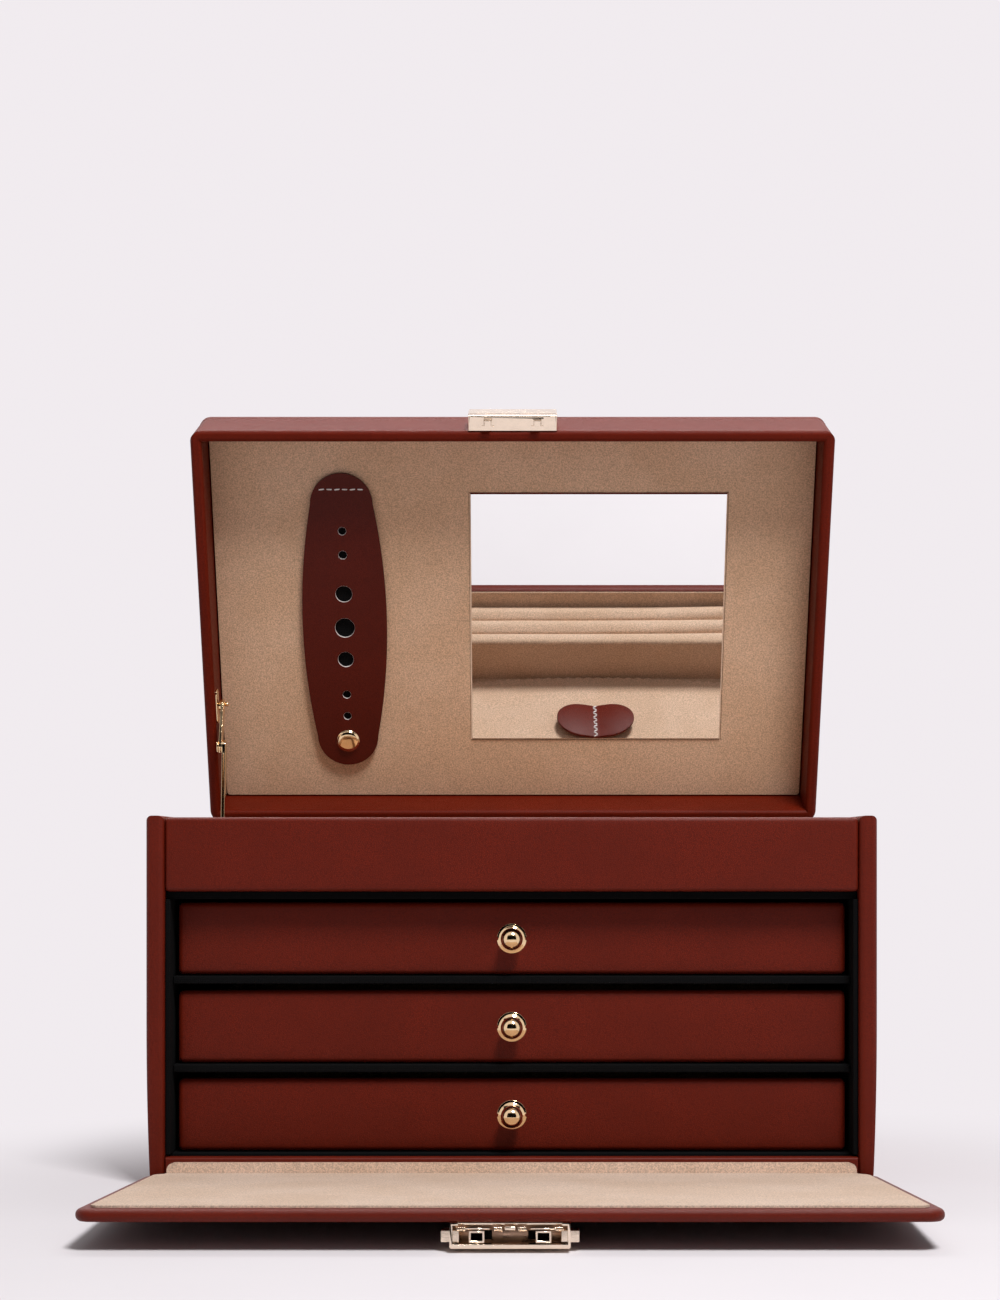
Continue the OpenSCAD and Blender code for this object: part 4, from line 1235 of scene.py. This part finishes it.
class CASE_OT_knobs(bpy.types.Operator):
    """Turns the three knobs, each a dished flange, a neck and a ball"""

    bl_idname = "jewellery_case.knobs"
    bl_label = "Turn the knobs"

    def execute(self, context):
        low, high = node_box("drawer_knob_bottom")
        centre = (low + high) / 2
        radius = (high.x - low.x) / 2
        face = node_box("drawer_front_bottom")[0].y
        reach = face - low.y
        ball = 4.3 * MM
        profile = [(0, -2.0 * MM), (1.5 * MM, -2.0 * MM), (1.5 * MM, -0.4 * MM),
                   (radius - 0.3 * MM, -0.4 * MM)]
        profile += arc_points((radius - 0.45 * MM, 0.15 * MM), 0.45 * MM, -60, 50, 6)
        profile += arc_points((radius - 9.45 * MM, -12.60 * MM), 15.8 * MM, 56, 66, 5)
        profile += [(2.6 * MM, 1.75 * MM), (2.15 * MM, 1.9 * MM), (2.0 * MM, 2.5 * MM)]
        profile += arc_points((0, reach - ball), ball, -60, 90, 20)
        profile[-1] = (0, reach)
        knob = turned("knob_bottom", profile)
        settle(knob, Matrix.Translation((centre.x, face, centre.z))
               @ Matrix.Rotation(math.pi / 2, 4, "X"))
        rise = node_box("drawer_knob_middle")[0].z - low.z
        for level, piece in by_level(knob, "knob", rise).items():
            finish(piece, f"drawer_{level}", "gold", f"drawer_knob_{level}", angle=60)
        return {"FINISHED"}


# ---- The lid ----


class CASE_OT_lid(bpy.types.Operator):
    """Wraps the lid's walls in one shell of leather and pads its top"""

    bl_idname = "jewellery_case.lid"
    bl_label = "Wrap the lid"

    def execute(self, context):
        low, high = node_box("lid_frame", LID)
        margin = Vector((0.005, 0.005, 0.005))
        corner_r = 0.0055
        corners = block("corners", low - margin, high + margin)
        kept = block("kept", low - Vector((0.00005, 0.00005, 0.01)),
                     high + Vector((0.00005, 0.00005, 0.01)))
        round_over(kept, lambda e: along(e, 2), corner_r, 8)
        cut(corners, kept)
        shell = from_node("lid_shell", "lid_frame", LID)
        cut(shell, corners)
        settle(shell, LID)
        soften_edges(shell, EDGE)
        finish(shell, "lid", "lid_leather", "lid_frame", angle=50)
        even_normals(shell)

        low, high = node_box("lid_top_panel", LID)
        crown = settings().padding.lid_crown
        top = block("lid_padded_top", low, high)
        round_over(top, lambda e: along(e, 2), 0.0048, 6)
        round_over(top, lambda e: all(at(v.co.z, high.z) for v in e.verts), 0.0040, 6)
        round_over(top, lambda e: all(at(v.co.z, low.z) for v in e.verts), 0.0011, 3)
        swell(top, lambda f: f.normal.z > 0.99 and f.calc_area() > 0.01,
              [(0.004, crown * 0.30), (0.009, crown * 0.30), (0.014, crown * 0.22),
               (0.022, crown * 0.18)])
        settle(top, LID)
        finish(top, "lid", "lid_leather", "lid_top_panel", angle=60)

        lining = from_node("lid_suede", "lid_lining_panel", LID)
        soften_edges(lining, 0.0011, 3)
        settle(lining, LID)
        finish(lining, "lid", "lid_suede", "lid_lining_panel", angle=50)
        even_normals(lining)
        return {"FINISHED"}


class CASE_OT_mirror(bpy.types.Operator):
    """Sets the square mirror with its ground edge"""

    bl_idname = "jewellery_case.mirror"
    bl_label = "Set the mirror"

    def execute(self, context):
        low, high = node_box("mirror_glass", LID)
        glass = block("mirror_pane", low, high)
        round_over(glass, lambda e: all(at(v.co.z, low.z) for v in e.verts), 0.0008, 1)
        settle(glass, LID)
        finish(glass, "lid", "mirror", "mirror_glass", angle=20)
        return {"FINISHED"}


def leaf_outline(length, width, end_radius, count=28, end_count=18):
    """Leaf outline about its middle: two long arcs between round ends."""
    side_y = length / 2 - end_radius
    rise = width / 2 - end_radius
    radius = (side_y ** 2 + rise ** 2) / (2 * rise)
    reach = math.degrees(math.atan(side_y / (radius - rise)))
    points = arc_points((width / 2 - radius, 0), radius, -reach, reach, count)
    points += arc_points((0, side_y), end_radius, 8, 172, end_count)
    points += arc_points((radius - width / 2, 0), radius, 180 - reach, 180 + reach, count)
    points += arc_points((0, -side_y), end_radius, 188, 352, end_count)
    return points


class CASE_OT_strap(bpy.types.Operator):
    """Hangs the earring strap with its punched holes, its stitches and its snap"""

    bl_idname = "jewellery_case.strap"
    bl_label = "Hang the earring strap"

    def execute(self, context):
        sewing = settings().needlework
        strap_low, strap_high = node_box("earring_strap", LID)
        root_low, root_high = node_box("strap_root", LID)
        low, high = extremes([strap_low, strap_high, root_low, root_high])
        middle = (low + high) / 2
        outline = leaf_outline(high.y - low.y, high.x - low.x, 0.014)
        leaf = primitive("earring_leaf", "circle", vertices=len(outline), radius=0.01,
                         fill_type="NGON")
        for corner, (x, y) in zip(leaf.data.vertices, outline):
            corner.co = (x, y, 0)
        pick(leaf, "FACE", lambda f: True)
        bpy.ops.mesh.extrude_region_move(
            TRANSFORM_OT_translate={"value": (0, 0, high.z - low.z)}
        )
        close_edit()
        outwards(leaf)
        lower_end = (high.y - low.y) / 2
        holes = list(zip((3.7, 3.9, 7.3, 9.1, 7.7, 4.0, 3.8, 5.3),
                         (23.8, 34.1, 50.9, 65.8, 81.6, 99.6, 110.5, 11.8)))
        punches = []
        for i, (diameter, down) in enumerate(holes):
            punches.append(primitive(
                f"punch_{i}", "cylinder", vertices=40, radius=diameter / 2 * MM, depth=0.01,
                location=(0, lower_end - down * MM, 0)))
        cut(leaf, join(punches, "punches"))
        # Each hole gets a pale cut wall and a black disc at its back; the disc is painted shade for
        # the dark inside of the hole
        edges, backs = [], []
        for i, (diameter, down) in enumerate(holes[:-1]):
            for parts, depth, level, fill in (
                (edges, high.z - low.z - 0.0004, (high.z - low.z) / 2, "NOTHING"),
                (backs, 0.0003, high.z - low.z - 0.0003, "NGON"),
            ):
                parts.append(primitive(
                    f"hole_{i}_{fill}", "cylinder", vertices=40,
                    radius=diameter / 2 * MM - 0.00002, depth=depth, end_fill_type=fill,
                    location=(0, lower_end - down * MM, level)))
        ring = join(edges, "punched_edges")
        thicken(ring, 0.00006, -1)
        place = LID @ Matrix.Translation((middle.x, middle.y, low.z))
        finish(settle(ring, place), "strap", "cut_leather", angle=40)
        finish(settle(join(backs, "strap_backing"), place), "strap", "black_cloth", angle=40)
        slices(leaf, 1, [-lower_end + step * MM for step in (8.0, 8.8, 9.6, 10.6, 12.0, 14.0)])
        soften_edges(leaf, 0.00035, 2, 50)
        settle(leaf, place)
        finish(leaf, "strap", "strap_leather", "earring_strap", "strap_root", angle=40,
               ride=False)
        even_normals(leaf)
        seam = strap_low.y
        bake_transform(leaf)

        threads = []
        for i in range(sewing.stitches):
            x = (i - (sewing.stitches - 1) / 2) * sewing.stitch_pitch
            half = sewing.stitch_length / 2
            slant = 0.00014 if i % 2 else -0.00006
            row = seam - 0.0011
            threads.append(
                stitch(f"stitch_{i}", (middle.x + x + half, row - 0.0001 + slant, low.z - 0.00005),
                       (middle.x + x - half, row + 0.0001 - slant, low.z - 0.00005),
                       (0, 0, -1), sewing.thread)
            )
        row = settle(join(threads, "strap_stitches"), LID)
        finish(row, "lid", "thread")

        cap_low, cap_high = node_box("snap_cap", LID)
        radius = (cap_high.x - cap_low.x) / 2
        centre = (cap_low + cap_high) / 2
        profile = [(0, 0.6 * MM), (2.6 * MM, 0.6 * MM), (2.6 * MM, -0.1 * MM),
                   (radius - 0.3 * MM, -0.1 * MM)]
        profile += arc_points((radius - 0.4 * MM, 0.35 * MM - 0.1 * MM), 0.4 * MM, -80, 70, 6)
        dome = strap_low.z - cap_low.z
        for i in range(1, 11):
            a = math.radians(90 * i / 10)
            profile.append(((radius - 0.5 * MM) * math.cos(a),
                            0.62 * MM + (dome - 0.62 * MM) * math.sin(a)))
        profile[-1] = (0, dome)
        # The profile's height runs out of the strap, against the lid's own height
        cap = turned("snap_dome", profile)
        settle(cap, LID @ Matrix.Translation((centre.x, centre.y, strap_low.z))
               @ Matrix.Rotation(math.pi, 4, "X"))
        finish(cap, "strap", "gold", "snap_cap", angle=50)
        whole_copy("snap_post", "snap_stud", "lid", "gold", 0.0001, flat=False)
        return {"FINISHED"}


class CASE_OT_lid_hinge(bpy.types.Operator):
    """Glues the leather strip over the lid's hinge line"""

    bl_idname = "jewellery_case.lid_hinge"
    bl_label = "Glue the lid's hinge strip"

    def execute(self, context):
        low, high = node_box("lid_hinge_strip")
        leaf_low, leaf_high = node_box("lid_hinge_leaf", LID)
        half = high.x
        thickness = high.y - low.y
        pivot = Vector(HINGES["lid_hinge"]["pos_m"])
        path = [Vector((0, low.y, low.z + (high.z - low.z) * i / 5)) for i in range(6)]
        path += [Vector((0, low.y + 0.0001, pivot.z - 0.0008)),
                 pivot + Vector((0, 0.0002, -0.0002)), LID @ Vector((0, 0.0001, 0.0008))]
        path += [LID @ Vector((0, leaf_low.y, leaf_low.z + (leaf_high.z - leaf_low.z) * i / 5))
                 for i in range(6)]
        strip = primitive("hinge_leather", "grid", x_subdivisions=24,
                          y_subdivisions=len(path) - 1, size=1)
        for corner in strip.data.vertices:
            row = round((corner.co.y + 0.5) * (len(path) - 1))
            point = path[row]
            corner.co = (corner.co.x * 2 * half, point.y, point.z)
        thicken(strip, thickness * 0.9, 1)
        outwards(strip)
        soften_edges(strip, 0.0003, 2, 60)
        finish(strip, "case", "leather", "lid_hinge_strip", "lid_hinge_leaf", angle=60, ride=False)
        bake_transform(strip)
        return {"FINISHED"}


# ---- The flap ----


class CASE_OT_flap(bpy.types.Operator):
    """Wraps the front flap and glues the suede that runs over its hinge line"""

    bl_idname = "jewellery_case.flap"
    bl_label = "Wrap the flap"

    def execute(self, context):
        low, high = node_box("flap_board", FLAP)
        board = block("flap_wrap", low, high)
        round_over(board, lambda e: along(e, 1), 0.006, 8)
        rim = 0.0019

        def on_rim(edge):
            if along(edge, 1):
                return False
            same = abs(edge.verts[0].co.y - edge.verts[1].co.y) < 1e-6
            return same and any(abs(f.normal.y) < 0.5 for f in edge.link_faces)

        round_over(board, on_rim, rim, 5)
        swell(board, lambda f: f.normal.y < -0.99 and f.calc_area() > 0.01,
              [(0.004, 0.0003), (0.010, 0.0002), (0.016, 0.0001)])
        settle(board, FLAP)
        finish(board, "flap", "leather", "flap_board", angle=50)

        strip_low, strip_high = node_box("flap_hinge_strip")
        lining_low, lining_high = node_box("flap_lining", FLAP)
        thickness = lining_high.y - lining_low.y
        case_front = strip_high.y
        half_strip, half_flap = strip_high.x, lining_high.x
        length = lining_high.z
        path, widths = [], []
        corner_r, end_r, bend_z = 0.003, 0.0022, 0.0032
        for i in range(7):
            drop = (strip_high.z - strip_low.z - 0.0006) * i / 6
            path.append(Vector((0, case_front - thickness, strip_high.z - drop)))
            left = max(0.0, corner_r - drop)
            inset = corner_r - math.sqrt(max(0.0, corner_r ** 2 - left ** 2))
            widths.append(half_strip - inset)
        bend_start, bend_end = path[-1].copy(), FLAP @ Vector((0, 0, bend_z))
        knee = Vector((0, bend_start.y - 0.0001, bend_end.z + 0.0001))
        for i in range(1, 6):
            t = i / 6
            path.append((1 - t) ** 2 * bend_start + 2 * t * (1 - t) * knee + t * t * bend_end)
            widths.append(half_strip)
        runs = 46
        for i in range(runs + 1):
            down = bend_z + (length - bend_z) * (i / runs)
            path.append(FLAP @ Vector((0, 0, down)))
            grow = min(1.0, (down - bend_z) / 0.004)
            half = half_strip + (half_flap - half_strip) * (grow * grow * (3 - 2 * grow))
            left = max(0.0, end_r - (length - down))
            half -= end_r - math.sqrt(max(0.0, end_r ** 2 - left ** 2))
            widths.append(half)
        # The flap's suede takes the brighter copy of the suede, which is painted light
        suede = primitive("flap_suede", "grid", x_subdivisions=48,
                          y_subdivisions=len(path) - 1, size=1)
        for corner in suede.data.vertices:
            row = round((0.5 - corner.co.y) * (len(path) - 1))
            corner.co = (corner.co.x * 2 * widths[row], path[row].y, path[row].z)
        thicken(suede, thickness * 0.92, -1)
        outwards(suede)
        finish(suede, "flap", "flap_suede", "flap_lining", "flap_hinge_strip", angle=60, ride=False)
        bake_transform(suede)
        return {"FINISHED"}


# ---- The lock and the stay ----


def prong_centre(keeper, side, rim):
    """The middle of one of the keeper's prongs, at the height of the rim."""
    points = [v.co for v in keeper.data.vertices if v.co.z < rim - 0.001 and v.co.x * side > 0]
    low, high = extremes(points)
    return Vector(((low.x + high.x) / 2, (low.y + high.y) / 2, rim))


class CASE_OT_lock(bpy.types.Operator):
    """Fits the lock, its buttons and catch, and the keeper on the lid"""

    bl_idname = "jewellery_case.lock"
    bl_label = "Fit the lock"

    def execute(self, context):
        low, high = node_box("lock_case", FLAP)
        button_low, button_high = node_box("lock_button_right", FLAP)
        wall, depth, play = 0.0009, 0.0065, 0.00025
        housing = block("lock_housing", low, high)
        round_over(housing, lambda e: at(e.verts[0].co.y, low.y) and at(e.verts[1].co.y, low.y),
                   0.0007, 3)
        cut(housing, block("hollow", (low.x + wall, low.y + 1.7 * wall, high.z - depth),
                           (high.x - wall, high.y - wall, high.z + 0.001)))
        cut(housing, block("opening", (low.x + 3 * wall, high.y - 2 * wall, high.z - 0.0028),
                           (high.x - 3 * wall, high.y + 0.001, high.z + 0.001)))
        for side in (1, -1):
            inner, outer = high.x - 0.005, high.x + 0.001
            cut(housing, block(
                "bay", (min(side * inner, side * outer), button_low.y - play,
                        button_low.z - play),
                (max(side * inner, side * outer), button_high.y + play, button_high.z + play)))
        settle(housing, FLAP)
        soften_edges(housing, 0.00018, 2)
        finish(housing, "flap", "pale_gold", "lock_case", angle=40)

        prong_x, prong_y = 0.0107, high.y - 0.0046
        collar_x, collar_y, socket_x, socket_y = 0.0025, 0.0019, 0.0019, 0.0013  # half sizes
        coil_pitch = 0.46
        works = []
        for side in (1, -1):
            collar = block(f"collar_{side}", (side * prong_x - collar_x, prong_y - collar_y,
                                             high.z - depth),
                           (side * prong_x + collar_x, prong_y + collar_y, high.z - 0.0008))
            cut(collar, block("socket", (side * prong_x - socket_x, prong_y - socket_y,
                                         high.z - depth - 0.001),
                              (side * prong_x + socket_x, prong_y + socket_y, high.z + 0.001)))
            works.append(collar)
            works.append(block(f"pawl_{side}", (side * prong_x - 0.0042, prong_y + 0.0023,
                                                high.z - depth),
                               (side * prong_x + 0.0042, prong_y + 0.0028, high.z - 0.0012)))
            for start in (2.7, 14.6):
                for turn in range(6):
                    works.append(primitive(
                        f"coil_{side}_{start}_{turn}", "torus", major_radius=0.00075,
                        minor_radius=0.0002, major_segments=14, minor_segments=6,
                        rotation=(0, math.pi / 2, 0.25),
                        location=(side * (start + turn * coil_pitch) * MM, high.y - 0.0020,
                                  high.z - 0.0011)))
        # Black patches on the lock's floor beside the collars: painted shadow in the openings there
        recesses = []
        for side in (1, -1):
            for x0, x1, y0, y1 in ((-4.9, -2.5, -1.3, 1.6), (-1.9, 1.9, -1.3, 1.3)):
                x0, x1 = sorted((side * x0, side * x1))
                recesses.append(block(
                    "recess", (side * prong_x + x0 * MM, prong_y + y0 * MM,
                               high.z - depth - 0.0002),
                    (side * prong_x + x1 * MM, prong_y + y1 * MM, high.z - depth + 0.0003)))
        slots = settle(join(recesses, "lock_recesses"), FLAP)
        soften_edges(slots, 0.0001, 1)
        finish(slots, "flap", "black_cloth")
        inside = join(works, "lock_works")
        settle(inside, FLAP)
        soften_edges(inside, 0.00012, 1)
        finish(inside, "flap", "pale_gold", angle=40)
        # The floor of the lock's hollow takes the darkened plating, which is painted shade
        floor = block("lock_floor", (low.x + wall, low.y + 1.7 * wall, high.z - depth - 0.0004),
                      (high.x - wall, high.y - wall, high.z - depth + 0.0001))
        soften_edges(floor, 0.0001, 1)
        finish(settle(floor, FLAP), "flap", "dark_metal")

        whole_copy("lock_catch", "lock_latch", "flap", "pale_gold", 0.00035, 4)
        for side in ("left", "right"):
            whole_copy(f"push_button_{side}", f"lock_button_{side}", f"button_{side}",
                       "pale_gold", 0.00025, 3)

        keeper = from_node("lid_keeper", "lock_keeper", LID)
        rim = node_box("lock_keeper", LID)[1].z - 0.017
        for side in (1, -1):
            centre = prong_centre(keeper, side, rim)
            ring = block("well", centre + Vector((-0.0027, -0.0019, -0.001)),
                         centre + Vector((0.0027, 0.0019, 0.0007)))
            cut(ring, block("core", centre + Vector((-0.0019, -0.0011, -0.002)),
                            centre + Vector((0.0019, 0.0011, 0.002))))
            cut(keeper, ring)
        settle(keeper, LID)
        soften_edges(keeper, 0.0002, 2)
        finish(keeper, "lid", "pale_gold", "lock_keeper")
        even_normals(keeper)
        return {"FINISHED"}


def lid_pivot():
    """The middle of the stay's pin on the lid."""
    low, high = node_box("stay_lid_plate", LID)
    return LID @ Vector((0, (low.y + high.y) / 2, high.z))


class CASE_OT_stay(bpy.types.Operator):
    """Fits the folding stay that holds the lid open"""

    bl_idname = "jewellery_case.stay"
    bl_label = "Fit the lid stay"

    def execute(self, context):
        whole_copy("stay_foot", "stay_bracket", "case", "gold", 0.00015)
        whole_copy("stay_plate", "stay_lid_plate", "lid", "gold", 0.00015)
        whole_copy("stay_short_link", "stay_link", "stay_link_body", "gold", 0.0002)
        foot = Vector(HINGES["stay_arm_pivot"]["pos_m"])
        knuckle = Vector(HINGES["stay_knuckle"]["pos_m"])
        arm = from_node("stay_long_arm", "stay_arm")
        run = knuckle - foot
        run.x = 0
        bar_high = node_box("stay_arm")[1].x
        bar_low = bar_high - 0.0012
        middle = (bar_high + bar_low) / 2
        for corner in arm.data.vertices:
            if corner.co.x > bar_low - 0.00005:
                corner.co.x = middle + (corner.co.x - middle) * 1.25
        groove = block("groove", (-0.00025, -0.0045, 0.004), (0.00025, -0.0016, run.length - 0.004))
        lean = math.atan2(run.y, run.z)
        settle(groove, Matrix.Translation((middle, foot.y, foot.z))
               @ Matrix.Rotation(-lean, 4, "X"))
        cut(arm, groove)
        soften_edges(arm, 0.00015, 2)
        finish(arm, "stay_arm_body", "gold", "stay_arm")

        def bead(name, centre, radius, half, body):
            """A round-edged disc or ball on the stay's cross pin."""
            edge = min(radius, half) * 0.8
            profile = [(0, -half)]
            profile += arc_points((radius - edge, edge - half), edge, -90, 0, 5)
            profile += arc_points((radius - edge, half - edge), edge, 0, 90, 5)
            profile.append((0, half))
            piece = turned(name, profile, 28)
            settle(piece, Matrix.Translation(centre) @ Matrix.Rotation(math.pi / 2, 4, "Y"))
            return finish(piece, body, "gold", angle=60)

        link_low, link_high = node_box("stay_link")
        pivot = lid_pivot()
        side = (link_low.x + link_high.x) / 2
        bead("stay_eye", (side, pivot.y, pivot.z), 0.0024, 0.0011, "stay_link_body")
        for i, step in enumerate((-0.0019, 0.0019)):
            bead(f"stay_pin_head_{i}", (side + step, pivot.y, pivot.z), 0.0010, 0.0010,
                 "stay_link_body")
        bead("stay_knuckle_disc", (middle - 0.0006, knuckle.y, knuckle.z), 0.0030, 0.0012,
             "stay_arm_body")
        bead("stay_knuckle_bead", (middle - 0.0018, knuckle.y, knuckle.z + 0.0005), 0.0019, 0.0012,
             "stay_arm_body")
        return {"FINISHED"}


class CASE_PT_panel(bpy.types.Panel):
    """Lists the steps and the settings of the jewellery case"""

    bl_idname = "CASE_PT_panel"
    bl_label = "Jewellery case"
    bl_space_type = "VIEW_3D"
    bl_region_type = "UI"
    bl_category = "Jewellery case"

    def draw(self, context):
        layout = self.layout
        for step in STEPS:
            layout.operator(step.bl_idname)
        chosen = context.scene.jewellery_case
        for part in ("leather", "suede", "gold", "padding", "needlework", "studio"):
            box = layout.box()
            box.label(text=part.capitalize())
            group = getattr(chosen, part)
            for key in group.__annotations__:
                box.prop(group, key)


STEPS = (
    CASE_OT_materials,
    CASE_OT_studio,
    CASE_OT_body,
    CASE_OT_boards,
    CASE_OT_tray,
    CASE_OT_rolls,
    CASE_OT_cover,
    CASE_OT_drawers,
    CASE_OT_knobs,
    CASE_OT_lid,
    CASE_OT_mirror,
    CASE_OT_strap,
    CASE_OT_lid_hinge,
    CASE_OT_flap,
    CASE_OT_lock,
    CASE_OT_stay,
)
CLASSES = (
    LeatherFinish,
    SuedeFinish,
    GoldFinish,
    Padding,
    Needlework,
    Studio,
    CaseSettings,
    *STEPS,
    CASE_PT_panel,
)


def register():
    for kind in CLASSES:
        bpy.utils.register_class(kind)
    bpy.types.Scene.jewellery_case = PointerProperty(type=CaseSettings)


def unregister():
    del bpy.types.Scene.jewellery_case
    for kind in reversed(CLASSES):
        bpy.utils.unregister_class(kind)


def main():
    register()
    for step in STEPS:
        group, name = step.bl_idname.split(".")
        getattr(getattr(bpy.ops, group), name)()


if __name__ == "__main__":
    main()
